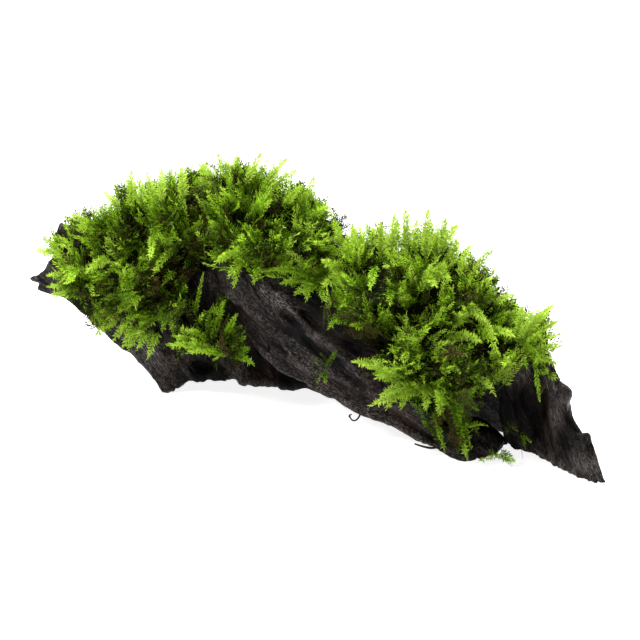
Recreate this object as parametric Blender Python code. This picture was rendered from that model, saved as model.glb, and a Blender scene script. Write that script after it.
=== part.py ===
"""A piece of bogwood overgrown with Christmas moss, at real size.

X runs along the log from the broken left end to the pointed right end, Y runs
from the front face to the back, and Z is up. The log stands on its front foot,
the bottom edge of its back wall, the end of its front limb and the edge of its
blade. Shapes are given in millimetres and turned into metres as they are built.
"""

import math

import bmesh
import bpy
import numpy as np
from mathutils import Matrix, Vector, noise

MM = 0.001
GAP = 0.3            # clearance between two neighbouring pieces
MOSS_GAP = 0.9       # clearance of the moss over the wood, whose fine relief it doesn't follow
MOSS_BED = 0.5       # share of the wood's faces that the underside of the moss follows
FORK_X = -24.0       # where the log parts into its two limbs
FAR = 200.0          # half the size of the cutters that take away a whole side
INSIDE = 5           # points over the hollow underside of a strand
FRONT_DETAIL = 1.25  # above 1, a strand has more of its points on the front
THICKEST_WALL = 0.4  # the most of a strand's depth that each of its two walls takes
FULL_RELIEF = 18.0   # distance from the hollow to the crown at which ridges have their full height
WEAR = 1.3           # how far slow waves push the wood in and out
WAVE_ALONG = 0.025   # waves for each millimetre along the log
WAVE_ACROSS = 0.09   # waves for each millimetre across it
GRAIN_SLOPE = 0.5    # how steeply the grain falls towards the right end
TUFT_SHARE = 0.8     # how far tufts stand out, as a share of the clump's smallest radius
TUFT_GRAIN = 0.9     # how finely the moss's roughness changes from point to point
SHARP = math.radians(40)

# Stations along a strand of wood: x, front edge (y, z), crown (y, z),
# rear edge (y, z), wall thickness, and how hollow the underside is from 0 to 1.
TRUNK = (
    (-131, (13, 33), (18, 40), (24, 34), 4, 0.0),
    (-124, (12, 30), (20, 46), (33, 33), 6, 0.0),
    (-110, (11, 23.5), (25, 55), (45, 28), 7, 0.3),
    (-98, (11, 15.5), (29, 61), (53, 22), 8, 0.6),
    (-87, (11, 11), (31, 64), (57, 17), 8, 0.8),
    (-80, (11, 4.5), (31, 65), (59, 12), 8, 0.8),
    (-75, (10, -1.5), (31, 66), (60, 8), 8, 0.8),
    (-68, (12.5, 3.8), (31, 67), (60, 3), 8, 0.8),
    (-60, (14, 5.8), (31, 69), (60, -1), 8, 0.8),
    (-52, (16, 7), (32, 70), (60, -1), 8, 0.7),
    (-46.5, (20, 7.5), (34, 70), (60, -1), 8, 0.6),
    (-42.5, (28, 5), (36, 69), (60, -1), 8, 0.5),
    (-33, (33, 3.4), (40, 67), (60, -1), 8, 0.4),
    (-15, (34, 1), (41, 62), (59, -1), 8, 0.4),
)
FRONT_LIMB = (
    (-64, (20, 58), (27, 64), (36, 58), 7, 0.0),
    (-55, (15, 51), (27, 66), (39, 52), 7, 0.0),
    (-46, (11.5, 41), (26, 66), (40, 46), 7, 0.0),
    (-37, (9.5, 32), (24, 65), (40, 42), 7, 0.3),
    (-28, (8.5, 25), (22, 61), (37, 38), 7, 0.6),
    (-19, (8, 20.5), (17, 55), (27, 36), 7, 0.7),
    (-8, (7.5, 19), (16, 49), (25, 31), 7, 0.7),
    (5, (7.5, 14), (16, 42), (24, 23), 6, 0.7),
    (18, (8, 10.8), (16, 34), (23, 15), 6, 0.7),
    (32, (8.5, 6.9), (17, 26), (23, 9), 6, 0.5),
    (45, (9.5, 2.7), (17, 17.5), (22, 4), 5, 0.2),
    (54, (10.5, -1.2), (18, 11.5), (31, -0.8), 5, 0.0),
    (60, (14, -0.8), (23, 7.5), (34, -0.8), 3, 0.0),
    (62, (20, -0.2), (25, 3), (31, -0.2), 3, 0.0),
)
REAR_LIMB = (
    (-35, (33, 3.6), (40, 67), (60, -1), 8, 0.4),
    (-20, (34, 1.6), (41, 63), (59, -1), 8, 0.4),
    (-8, (33.5, 1.5), (39, 58), (58, -1), 8, 0.4),
    (2, (31, 10), (37, 55), (57, -1), 8, 0.6),
    (12, (27, 24), (37, 53), (56, -1), 8, 0.8),
    (26, (25, 27), (36, 52), (55, -1), 8, 0.8),
    (40, (22, 31), (34, 50), (53, -1), 11, 0.8),
    (54, (22, 31), (33, 48), (50, -1), 12, 0.75),
    (64, (25, 22), (33, 46), (46, -1), 8, 0.5),
    (72, (30, 2), (34, 42), (43, -1), 5, 0.0),
)
BLADE = (
    (60, (23, 14), (27, 47), (34, 14), 6, 0.0),
    (64, (23, 3), (27, 47), (38, 3), 6, 0.0),
    (69, (28, -1), (26, 46), (40, -1), 6, 0.0),
    (77, (25, -1), (23, 43), (35, -1), 6, 0.0),
    (83, (22, -1), (20, 38), (31, -1), 6, 0.0),
    (87, (20.3, -1), (19, 32), (28, 0), 6, 0.0),
    (89.5, (19.3, -1), (18.5, 27.5), (26.5, 0.5), 6, 0.0),
    (91, (18.8, -1), (18, 21), (25.5, 0.5), 6, 0.0),
    (94.5, (17.7, -1), (18, 16), (24, 0.5), 5, 0.0),
    (98.5, (16.5, -1), (18, 15), (22.5, 0.5), 5, 0.0),
    (100, (16.3, -1), (18, 9.5), (21.5, 0.5), 5, 0.0),
    (103, (16.5, -1), (18, 4.6), (20, 0.2), 4, 0.0),
    (106, (17.3, -0.3), (18, 1), (18.8, 0), 3, 0.0),
)

# Ridges along the grain: place over the arch from front edge 0 to rear edge 1,
# width over the same scale, and height in millimetres.
TRUNK_RIDGES = (
    (0.07, 0.05, 1.8),
    (0.2, 0.05, 1.6),
    (0.34, 0.06, 1.8),
    (0.62, 0.07, 2.0),
    (0.82, 0.06, 1.8),
)
LIMB_RIDGES = ((0.05, 0.05, 1.2), (0.2, 0.07, 1.8), (0.43, 0.06, 1.6), (0.7, 0.09, 1.2))
REAR_RIDGES = ((0.1, 0.05, 1.4), (0.45, 0.06, 1.6), (0.65, 0.06, 1.8), (0.85, 0.06, 1.6))
BLADE_RIDGES = ((0.36, 0.05, 1.6), (0.7, 0.08, 1.4))

# Knots and hollows: centre in millimetres, radius, and height (a hollow is negative).
TRUNK_KNOTS = (
    ((-76, 9, 17), 4, 1.6),
    ((-62, 12, 28), 7, 1.5),
    ((-100, 14, 36), 9, 2.0),
    ((-40, 32, 16), 8, -2.0),
)
LIMB_KNOTS = (((-22, 12, 50), 5, 1.8), ((30, 8, 14), 7, -1.2), ((48, 10, 7), 4, 1.2))
REAR_KNOTS = (((20, 54, 30), 12, 2.5), ((50, 50, 20), 10, -2.0), ((0, 30, 52), 8, 2.0))
BLADE_KNOTS = (
    ((84, 18, 27), 6, 2.2),
    ((98, 16, 11), 4, 1.4),
    ((76, 23, 18), 8, -1.4),
    ((88, 30, 14), 6, 1.5),
)

# Broken ends: root and tip in millimetres, and the radius at each.
PRONGS = (
    ((-114, 20, 38), (-137, 13, 33.8), 7.5, 0.9),
    ((-113, 19, 32), (-134.5, 14, 30), 6.0, 0.9),
    ((-112, 20, 42), (-129, 14, 42), 6.0, 1.2),
    ((-106, 25, 46), (-126, 18, 55), 6.0, 3.0),
)
# The hole worn through the foot: centre, and half its size along the log, through it and up.
FOOT_HOLE = ((-59, 14, 12), (5.2, 6.5, 3.0))

# Hair roots: points along each in millimetres, and their radius.
ROOTLET_RADIUS = 0.5
ROOTLET_STEPS = 3    # points along a root for each one that is given
WELD = 0.01          # distance at which a wire's caps join its wall
ROOTLETS = {
    "rootlet_curl": (
        (11, 12, 15), (12, 7.6, 12), (12.4, 6.5, 9.4), (11.2, 6, 7.2),
        (9.4, 6, 6.6), (8.2, 6.2, 8.2), (8.8, 6.4, 9.4),
    ),
    "rootlet_stub": ((46, 13, 4.5), (43, 9, 3.2), (39, 7.6, 3.4), (35.5, 7, 4.2)),
}

# Moss clumps: each one's lobes, as centre and radii in millimetres.
MOSS = {
    "moss_left": (
        ((-107, 20, 49), (20, 16, 17)),
        ((-88, 24, 60), (20, 20, 19)),
        ((-68, 24, 66), (18, 20, 20)),
        ((-100, 10, 36), (19, 14, 13)),
        ((-76, 8, 44), (19, 14, 15)),
        ((-84, 47, 50), (28, 19, 20)),
    ),
    "moss_centre": (
        ((-47, 24, 75), (16, 20, 21)),
        ((-28, 24, 73), (16, 20, 19)),
        ((-34, 10, 67), (19, 14, 12)),
        ((-16, 18, 66), (11, 13, 14)),
        ((-36, 45, 57), (22, 15, 18)),
    ),
    "moss_right": (
        ((4, 26, 58), (15, 18, 18)),
        ((28, 25, 62), (18, 18, 19)),
        ((46, 24, 56), (15, 16, 19)),
        ((61, 24, 42), (12, 14, 14)),
        ((13, 10, 51), (15, 14, 12)),
        ((34, 8, 38), (18, 14, 16)),
        ((54, 11, 34), (15, 14, 16)),
        ((29, 44, 45), (33, 17, 17)),
    ),
    "moss_front_tuft": (
        ((-58, 5, 27), (10, 8, 7)),
        ((-43, 5, 27), (11, 8, 9)),
        ((-48, 8, 38), (8, 7, 10)),
    ),
    "moss_hanging_tuft": (
        ((45, 7, 17), (7, 6, 9)),
        ((51, 7, 10), (7, 6, 8)),
    ),
    "moss_blade_tuft": (
        ((79, 20, 49), (8, 9, 12)),
        ((80, 14, 38), (4.5, 5, 12)),
    ),
    "moss_limb_sprig": (
        ((0, 5, 24), (4, 3.5, 6)),
        ((5, 5, 29), (3.5, 3.5, 4)),
    ),
    "moss_cavity_sprig": (
        ((56, 24, 19), (4, 3.5, 4)),
        ((62, 19, 13), (5, 3.5, 4)),
        ((67, 17, 7), (4, 3.5, 5)),
    ),
    "moss_fallen_sprig": (
        ((66, 14, 3), (7, 3.5, 3)),
    ),
}


def material(name, colour, roughness):
    """A plain finish with the colour seen in the piece."""
    made = bpy.data.materials.new(name)
    made.use_nodes = True
    shader = made.node_tree.nodes["Principled BSDF"]
    shader.inputs["Base Color"].default_value = (*colour, 1.0)
    shader.inputs["Roughness"].default_value = roughness
    shader.inputs["Metallic"].default_value = 0.0
    return made


def through(values, places, stops):
    """Values at the stops, on a smooth curve through the given places."""
    places = np.asarray(places, float)
    values = np.asarray(values, float)
    slopes = np.gradient(values, places, axis=0)
    found = np.clip(np.searchsorted(places, stops, side="right") - 1, 0, len(places) - 2)
    width = places[found + 1] - places[found]
    t = ((stops - places[found]) / width)[:, None]
    low, high = values[found], values[found + 1]
    start, end = slopes[found] * width[:, None], slopes[found + 1] * width[:, None]
    return ((2 * t**3 - 3 * t**2 + 1) * low + (t**3 - 2 * t**2 + t) * start
            + (3 * t**2 - 2 * t**3) * high + (t**3 - t**2) * end)


def arch(front, crown, rear, count):
    """Points over two quarter ellipses, from the front edge over the crown to the rear edge."""
    angles = math.pi * np.linspace(0.0, 1.0, count) ** FRONT_DETAIL
    foot = np.where(angles[:, None] < math.pi / 2, front, rear)
    lift = np.sin(angles)[:, None]
    lean = (1.0 - np.abs(np.cos(angles)))[:, None]
    across = foot[:, :1] + (crown[0] - foot[:, :1]) * lean
    height = foot[:, 1:] + (crown[1] - foot[:, 1:]) * lift
    return np.hstack([across, height])


def ridge_height(places, ridges):
    """How far the ridges stand out at places over the arch."""
    return sum(height * np.exp(-((places - centre) / width) ** 2) for centre, width, height in ridges)


def section(station, ridges, outside):
    """One closed outline across a strand: the outer arch, then the hollow back under it."""
    front, crown, rear = station[0:2], station[2:4], station[4:6]
    wall, hollow = station[6], station[7]
    outer = arch(front, crown, rear, outside)
    middle = (front + rear) / 2
    outward = outer - (middle + crown) / 2
    outward /= np.linalg.norm(outward, axis=1)[:, None]
    places = np.linspace(0.0, 1.0, outside) ** FRONT_DETAIL
    scale = min(1.0, np.linalg.norm(crown - middle) / FULL_RELIEF)
    outer = outer + outward * (ridge_height(places, ridges) * scale)[:, None]
    wall = min(wall, THICKEST_WALL * (rear[0] - front[0]))
    step = np.array([wall, 0.0])
    flat = middle + np.array([0.0, GAP])
    top = flat + (crown - np.array([0.0, wall]) - flat) * hollow
    inner = arch(front + step, top, rear - step, INSIDE)[::-1]
    return np.vstack([outer, inner])


def mesh_object(name, vertices, faces, collection):
    """A named object from vertices in millimetres and faces."""
    mesh = bpy.data.meshes.new(name)
    mesh.from_pydata([tuple(point * MM) for point in vertices], [], faces)
    made = bpy.data.objects.new(name, mesh)
    collection.objects.link(made)
    return made


def faces_out(made):
    """Turn the faces of a closed mesh outward."""
    shell = bmesh.new()
    shell.from_mesh(made.data)
    bmesh.ops.recalc_face_normals(shell, faces=shell.faces)
    shell.to_mesh(made.data)
    shell.free()


def strand(name, stations, ridges, knots, collection, rings, outside):
    """A strand of wood lofted through its stations, with ridges, knots and uneven wear."""
    places = [station[0] for station in stations]
    numbers = [(*front, *crown, *rear, wall, hollow) for _, front, crown, rear, wall, hollow in stations]
    stops = np.linspace(places[0], places[-1], rings)
    sections = [section(row, ridges, outside) for row in through(numbers, places, stops)]
    around = outside + INSIDE
    vertices = [Vector((x, y, z)) for x, outline in zip(stops, sections) for y, z in outline]
    faces = [tuple(range(around))[::-1]]
    for ring in range(rings - 1):
        low, high = ring * around, (ring + 1) * around
        for side in range(around):
            following = (side + 1) % around
            faces.append((low + side, low + following, high + following, high + side))
    faces.append(tuple(range((rings - 1) * around, rings * around)))
    made = mesh_object(name, vertices, faces, collection)
    faces_out(made)
    outer = [index for index in range(len(vertices)) if 0 < index % around < outside - 1]
    wear(made, knots, outer)
    return made


def wear(made, knots, chosen):
    """Push the chosen outer points in and out: slow waves drawn out along the grain, and the knots."""
    made.data.update()
    moved = []
    for index in chosen:
        vertex = made.data.vertices[index]
        place = vertex.co / MM
        across = Vector((0.0, place.y, place.z + place.x * GRAIN_SLOPE)) * WAVE_ACROSS
        push = WEAR * noise.noise(across + Vector((place.x * WAVE_ALONG, 0.0, 0.0)))
        for centre, radius, height in knots:
            push += height * math.exp(-((place - Vector(centre)).length / radius) ** 2)
        moved.append(vertex.co + Vector((0.0, vertex.normal.y, vertex.normal.z)) * push * MM)
    for index, place in zip(chosen, moved):
        made.data.vertices[index].co = place


def prong(name, root, tip, thick, thin, collection):
    """A broken end: a slim cone between two points."""
    root, tip = Vector(root), Vector(tip)
    bpy.ops.mesh.primitive_cone_add(vertices=8, radius1=thick * MM, radius2=thin * MM,
                                    depth=(tip - root).length * MM, location=(root + tip) / 2 * MM)
    made = bpy.context.object
    made.rotation_mode = "QUATERNION"
    made.rotation_quaternion = (tip - root).to_track_quat("Z", "Y")
    made.name = name
    move_to(made, collection)
    return made


def move_to(made, collection):
    """Keep an object in one collection only."""
    for owner in list(made.users_collection):
        owner.objects.unlink(made)
    collection.objects.link(made)


def ball(name, centre, radii, roughness, collection):
    """A rough ellipsoid: a lobe of moss, or with no roughness a plain cutter."""
    bpy.ops.mesh.primitive_ico_sphere_add(subdivisions=2, radius=1.0)
    made = bpy.context.object
    made.name = name
    move_to(made, collection)
    centre = Vector(centre)
    for vertex in made.data.vertices:
        direction = vertex.co.copy()
        place = centre + Vector(a * b for a, b in zip(direction, radii))
        tuft = roughness * noise.noise(place * TUFT_GRAIN)
        vertex.co = (place + direction * tuft) * MM
    return made


def combine(made, others, operation, solver="EXACT"):
    """Join others to an object, or cut them from it, and remove them."""
    for other in others:
        step = made.modifiers.new("combine", "BOOLEAN")
        step.operation = operation
        step.solver = solver
        step.object = other
        bake(made)
        bpy.data.objects.remove(other)


def bake(made):
    """Give an object the mesh that its modifiers make."""
    evaluated = made.evaluated_get(bpy.context.evaluated_depsgraph_get())
    mesh = bpy.data.meshes.new_from_object(evaluated)
    made.modifiers.clear()
    made.data = mesh


def copy_of(made, name, collection, grow=0.0, coarse=1.0):
    """A copy of an object, with a share of its faces and grown outward by so many millimetres."""
    other = made.copy()
    other.data = made.data.copy()
    other.name = name
    collection.objects.link(other)
    if coarse < 1.0:
        step = other.modifiers.new("coarse", "DECIMATE")
        step.ratio = coarse
    if grow:
        step = other.modifiers.new("grow", "DISPLACE")
        step.strength = grow * MM
        step.mid_level = 0.0
        bpy.context.view_layer.update()
        bake(other)
    return other


def block(name, low, high, collection):
    """A box between two corners in millimetres."""
    bpy.ops.mesh.primitive_cube_add(size=1.0)
    made = bpy.context.object
    made.name = name
    move_to(made, collection)
    low, high = Vector(low), Vector(high)
    size = Vector(b - a for a, b in zip(low, high)) * MM
    made.data.transform(Matrix.Translation((low + high) / 2 * MM) @ Matrix.Diagonal((*size, 1.0)))
    return made


def floor_block(collection):
    """Everything under the surface that the log stands on."""
    return block("floor", (-FAR, -FAR, -FAR), (FAR, FAR, 0), collection)


def side_block(low_x, high_x, collection):
    """Everything between two places along the log."""
    return block("side", (low_x, -FAR, -FAR), (high_x, FAR, FAR), collection)


def keep_finish(made, finish, name):
    """Name an object, give it one material and shade its rounded faces smooth."""
    made.name = name
    made.data.name = name
    made.data.materials.clear()
    made.data.materials.append(finish)
    made.data.shade_smooth()
    made.data.set_sharp_from_angle(angle=SHARP)


def largest_only(made):
    """Drop the crumbs that a cut leaves beside the main body."""
    shell = bmesh.new()
    shell.from_mesh(made.data)
    groups, seen = [], set()
    for start in shell.verts:
        if start in seen:
            continue
        group, queue = [], [start]
        seen.add(start)
        while queue:
            here = queue.pop()
            group.append(here)
            for edge in here.link_edges:
                other = edge.other_vert(here)
                if other not in seen:
                    seen.add(other)
                    queue.append(other)
        groups.append(group)
    groups.sort(key=len)
    crumbs = [vertex for group in groups[:-1] for vertex in group]
    bmesh.ops.delete(shell, geom=crumbs, context="VERTS")
    shell.to_mesh(made.data)
    shell.free()


def make_trunk(parts, cutters, finish):
    """The thick end of the log: its body, its foot with a hole and its broken ends."""
    trunk = strand("driftwood_trunk", TRUNK, TRUNK_RIDGES, TRUNK_KNOTS, parts, rings=21, outside=22)
    root = strand("limb_root", FRONT_LIMB, LIMB_RIDGES, LIMB_KNOTS, cutters, rings=20, outside=18)
    ends = [prong("prong", *sizes, cutters) for sizes in PRONGS]
    combine(trunk, [root] + ends, "UNION")
    hole = ball("hole", *FOOT_HOLE, 0.0, cutters)
    beyond = side_block(FORK_X, FAR, cutters)
    combine(trunk, [hole, beyond, floor_block(cutters)], "DIFFERENCE", "MANIFOLD")
    largest_only(trunk)
    keep_finish(trunk, finish, "driftwood_trunk")
    return trunk


def make_front_limb(parts, cutters, finish):
    """The limb that slopes down along the front."""
    limb = strand("driftwood_front_limb", FRONT_LIMB, LIMB_RIDGES, LIMB_KNOTS, parts, rings=20, outside=18)
    before = side_block(-FAR, FORK_X + GAP, cutters)
    combine(limb, [before, floor_block(cutters)], "DIFFERENCE")
    largest_only(limb)
    keep_finish(limb, finish, "driftwood_front_limb")
    return limb


def make_rear_limb(parts, cutters, finish):
    """The limb along the back, which ends in a broad pointed blade."""
    limb = strand("driftwood_rear_limb", REAR_LIMB, REAR_RIDGES, REAR_KNOTS, parts, rings=13, outside=22)
    blade = strand("blade", BLADE, BLADE_RIDGES, BLADE_KNOTS, cutters, rings=16, outside=16)
    combine(limb, [blade], "UNION")
    before = side_block(-FAR, FORK_X + GAP, cutters)
    combine(limb, [before, floor_block(cutters)], "DIFFERENCE")
    largest_only(limb)
    keep_finish(limb, finish, "driftwood_rear_limb")
    return limb


def make_moss(name, lobes, neighbours, parts, cutters, finish):
    """One clump of moss: its lobes joined, then cut back to clear everything it grows on."""
    roughness = TUFT_SHARE * min(min(radii) for _, radii in lobes)
    clump, *others = [ball(name, centre, radii, roughness, parts) for centre, radii in lobes]
    combine(clump, others, "UNION")
    clear = [copy_of(other, "clear", cutters, MOSS_GAP, MOSS_BED) for other in neighbours]
    combine(clump, clear + [floor_block(cutters)], "DIFFERENCE", "MANIFOLD")
    largest_only(clump)
    keep_finish(clump, finish, name)
    return clump


def rootlet(name, points, neighbours, parts, cutters, finish):
    """A hair root along a smooth curve through its points."""
    places = np.arange(len(points), dtype=float)
    stops = np.linspace(0.0, places[-1], ROOTLET_STEPS * len(points))
    route = through(points, places, stops)
    curve = bpy.data.curves.new(name, "CURVE")
    curve.dimensions = "3D"
    curve.bevel_depth = ROOTLET_RADIUS * MM
    curve.bevel_resolution = 1
    curve.use_fill_caps = True
    spline = curve.splines.new("POLY")
    spline.points.add(len(route) - 1)
    for point, place in zip(spline.points, route):
        point.co = (*(place * MM), 1.0)
    wire = bpy.data.objects.new(name + "_wire", curve)
    cutters.objects.link(wire)
    bpy.context.view_layer.update()
    evaluated = wire.evaluated_get(bpy.context.evaluated_depsgraph_get())
    mesh = bpy.data.meshes.new_from_object(evaluated)
    bpy.data.objects.remove(wire)
    shell = bmesh.new()
    shell.from_mesh(mesh)
    bmesh.ops.remove_doubles(shell, verts=shell.verts, dist=WELD * MM)
    bmesh.ops.recalc_face_normals(shell, faces=shell.faces)
    shell.to_mesh(mesh)
    shell.free()
    made = bpy.data.objects.new(name, mesh)
    parts.objects.link(made)
    clear = [copy_of(other, "clear", cutters, GAP) for other in neighbours]
    combine(made, clear, "DIFFERENCE")
    largest_only(made)
    keep_finish(made, finish, name)
    return made


def centre_on_base(objects):
    """Move everything so that the origin is at the middle of the box's bottom."""
    corners = np.array([vertex.co for made in objects for vertex in made.data.vertices])
    low, high = corners.min(axis=0), corners.max(axis=0)
    shift = Vector((-(low[0] + high[0]) / 2, -(low[1] + high[1]) / 2, -low[2]))
    for made in objects:
        made.data.transform(Matrix.Translation(shift))


def main():
    """Build the log, its hair roots and its moss."""
    for old in list(bpy.data.objects):
        bpy.data.objects.remove(old)
    parts = bpy.data.collections.new("moss_on_driftwood")
    cutters = bpy.data.collections.new("cutters")
    bpy.context.scene.collection.children.link(parts)
    bpy.context.scene.collection.children.link(cutters)
    wood = material("wet_driftwood", (0.035, 0.028, 0.025), 0.42)
    moss = material("moss_green", (0.16, 0.33, 0.03), 0.75)
    bark = material("root_black", (0.02, 0.015, 0.012), 0.6)

    trunk = make_trunk(parts, cutters, wood)
    front_limb = make_front_limb(parts, cutters, wood)
    rear_limb = make_rear_limb(parts, cutters, wood)
    made = [trunk, front_limb, rear_limb]
    for name, points in ROOTLETS.items():
        made.append(rootlet(name, points, [front_limb], parts, cutters, bark))
    for name, lobes in MOSS.items():
        made.append(make_moss(name, lobes, list(made), parts, cutters, moss))
    centre_on_base(made)


if __name__ == "__main__":
    main()
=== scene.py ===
"""Christmas moss on a wet driftwood log: the looks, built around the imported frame.

X runs along the log to its pointed end, Y goes from the front to the back and Z is up.
Sizes are in metres. Those in the tables, and where a comment or docstring says so, are in
millimetres.
"""

import itertools
import math

import bmesh
import bpy
import numpy as np
from bpy.props import FloatProperty, FloatVectorProperty, IntProperty, PointerProperty
from mathutils import Matrix, Vector
from mathutils.bvhtree import BVHTree


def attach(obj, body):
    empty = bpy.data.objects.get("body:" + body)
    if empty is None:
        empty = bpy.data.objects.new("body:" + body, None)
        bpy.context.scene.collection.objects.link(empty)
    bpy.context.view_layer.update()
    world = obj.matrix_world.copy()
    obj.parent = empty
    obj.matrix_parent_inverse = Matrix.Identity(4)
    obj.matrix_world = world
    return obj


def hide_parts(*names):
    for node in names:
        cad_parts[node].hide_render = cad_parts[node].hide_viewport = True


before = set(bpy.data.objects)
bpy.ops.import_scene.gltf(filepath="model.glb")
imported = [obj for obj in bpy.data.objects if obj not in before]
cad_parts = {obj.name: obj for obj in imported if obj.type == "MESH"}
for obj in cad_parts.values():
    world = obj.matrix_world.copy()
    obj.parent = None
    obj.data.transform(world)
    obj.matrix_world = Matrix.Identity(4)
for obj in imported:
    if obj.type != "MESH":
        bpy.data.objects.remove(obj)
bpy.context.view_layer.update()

bl_info = {
    "name": "Moss on Driftwood",
    "version": (1, 0, 0),
    "blender": (4, 5, 0),
    "location": "View3D > Sidebar > Driftwood",
    "description": "Builds a wet driftwood log and the moss that grows on it",
    "category": "Object",
}

MM = 0.001
UP = np.array([0.0, 0.0, 1.0])
WOOD_NODES = ("driftwood_trunk", "driftwood_front_limb", "driftwood_rear_limb")

# The viewpoint: what it looks at, from where, and how wide the view is there, in millimetres.
VIEW_TARGET = (15.65, -28.61, 48.0)
VIEW_TURN = math.radians(29)
VIEW_RISE = math.radians(22)
VIEW_DISTANCE = 900.0
VIEW_WIDTH = 230.4

# The directions ahead, to the right and upward as seen from the viewpoint, and where it is.
AHEAD = np.array([
    -math.sin(VIEW_TURN) * math.cos(VIEW_RISE), math.cos(VIEW_TURN) * math.cos(VIEW_RISE),
    -math.sin(VIEW_RISE)])
RIGHT = np.array([math.cos(VIEW_TURN), math.sin(VIEW_TURN), 0.0])
ABOVE = np.cross(RIGHT, AHEAD)
EYE = np.array(VIEW_TARGET) - AHEAD * VIEW_DISTANCE

# The form that moss follows: its detail, and the fewest points of a shell that isn't a crumb.
FORM_DETAIL = 0.0016
CRUMB_POINTS = 100

# The depth of a clump's near-black sheet of painted shade, the length of old shoots over it, and the radius
# of all stems.
SHADE_SHEET_DEPTH = 0.0075
OLD_SHOOT = 0.006
STEM_RADIUS = 0.00013

# Tufts: how far apart their middles are, how deep their roots are, and their radius.
TUFT_GAP = 0.0085
TUFT_DEPTH = 0.0095
TUFT_RADIUS = 0.0045

# How far behind the root of a listed shoot, and before it, its clump's surface is looked for.
SEARCH_BEHIND = 0.015
SEARCH_BEFORE = 0.05

# How far side shoots and leaves turn from their shoot, and how much less the leaves turn at its tip.
SIDE_SHOOT_ANGLE = math.radians(50)
LEAF_ANGLE = math.radians(56)
LEAF_CLOSING = math.radians(32)

# Where a leaf's base, right edge, tip and left edge lie on the map, from its own place there. The base lies
# lowest, so it takes the most painted shade.
LEAF_MAP = ((0.0, -0.3), (0.008, -0.06), (0.0, 0.08), (-0.008, -0.06))

# Where STANDS lowers the moss to below these millimetres it is bare in front, and bare behind too.
BARE = -5.0
BARE_BEHIND = -15.0

# How steeply the grain falls towards the right: place along the log, and the slope there.
GRAIN_FALL = (
    (-125, 0.25), (-95, 0.5), (-80, 0.85), (-60, 1.15), (-30, 1.15), (-20, 0.9), (-8, 0.5), (2, 0.38),
    (70, 0.3), (76, 1.2), (84, 2.2), (105, 1.9), (122, 1.6),
)

# Listed ridges and furrows: points, half width, and height (a furrow is negative).
CARVED_LINES = (
    (((-33.5, -16.8, 45.2), (-24, -19.1, 39.6), (-16.9, -20, 32.5), (-11.9, -20.4, 28.4)), 1.4, -2),
    (((-28.6, -18, 45.9), (-14.1, -19.9, 36.8), (-0.2, -20.9, 28), (6.6, -21.3, 23.9)), 2.2, 1.2),
    (((-24, -19.1, 41.5), (-12, -20.3, 34), (-3, -20.7, 28.7)), 1.4, -2),
    (((-14.8, -19.7, 39.6), (-8.5, -20.3, 36), (-2.9, -20.7, 30.3), (8, -21.3, 24.6)), 1, 0.9),
    (((-2.2, -18.5, 45.3), (10.6, -21.2, 37), (23.1, -21.4, 30.9), (35.9, -21, 19.8)), 1.3, 1.1),
    (((-5, -19, 44), (0, -19.6, 39.6), (8, -21, 33), (18, -21.6, 27.6), (30, -21, 21)), 1.3, -2),
    (((-13.7, -20.4, 27.2), (-5.7, -21, 21.8), (16.1, -21.3, 16.1), (41.7, -20.6, 9.6),
     (57.6, -20.3, 3.6)), 1.2, 1),
    (((14.6, -21.3, 25.4), (27, -21.4, 21.7), (42.9, -19.5, 15), (56.4, -19.4, 9.2), (69.1, -19.2, 1)),
     1.3, 1),
    (((14, -21.3, 22), (28, -21.2, 17.5), (44, -20.2, 12.2), (58, -19.8, 6.6)), 1, -1),
    (((1.8, -17.9, 44.9), (4.3, -18.2, 43.3), (8.7, -18.9, 40.7), (14.6, -19, 38.2), (26.8, -18.5, 33.1)),
     0.75, -3.2),
    (((4, -19.4, 41), (10, -20.2, 37.6), (17, -20.6, 34.6), (27, -20.4, 29)), 1, 1.2),
    (((-72.4, -18.3, 15.4), (-65.9, -18.4, 9.3), (-58.4, -18.8, 0.9)), 0.9, 0.8),
    (((-67.9, -18.8, 18.5), (-63.2, -19.2, 13.4), (-56.7, -18.9, 4.3)), 0.8, 0.7),
    (((-58, -17, 35.8), (-53, -16.6, 31), (-47, -16.3, 25.8)), 1.3, 1.8),
    (((78.8, -5.4, 31.6), (80.2, -4.4, 25.9), (81.9, -3.5, 13.6), (83.9, -1.6, 4.7)), 1.1, 1.3),
    (((95, -6, 35), (98.5, -8, 29.5), (102.2, -9.4, 21.7), (108, -11.5, 14.1)), 1.8, 1.5),
    (((92, -6, 31), (95.5, -7, 24), (99.5, -8.4, 17)), 1.3, -1.1),
    (((84.5, -1.1, 3.8), (93.6, -4.3, 2.8), (103.9, -9, 1.5), (119.1, -12.1, 0.1)), 0.9, 0.7),
    (((-30, -6, 6.5), (-26, -0.5, 5), (-20, 4, 4), (-14, 5, 3.5)), 2.5, 2.8),
    (((8, -21, 18), (16, -21.8, 15.6), (25, -21.5, 13), (34, -21, 9.5)), 2, 1),
)

# Knobs and dents: centre, radius, and height (a dent is negative).
CARVED_KNOBS = (
    ((-7.2, -17.7, 49.6), 4, 1.6), ((-60.1, -18.6, 20.8), 2, 1.1), ((-57.5, -19, 2.4), 2.6, 0.9),
    ((103, -7.5, 29.5), 3.4, 2.4), ((106.8, -8.5, 21.3), 3.6, -2.4), ((110, -9, 17.4), 2, -0.8),
    ((112.8, -9.2, 16), 2.2, 1.4), ((114.4, -10.4, 12.6), 1.8, -1.4), ((116.6, -10.8, 9), 2, 0.8),
    ((99.4, -5.9, 36), 2.2, -1.2), ((98, -7, 18), 5, 0.9), ((111.6, -12, 7), 4, 0.9),
    ((89, -4, 19), 6, -1.2), ((104.5, -10.5, 14), 3, -0.9),
)
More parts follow.
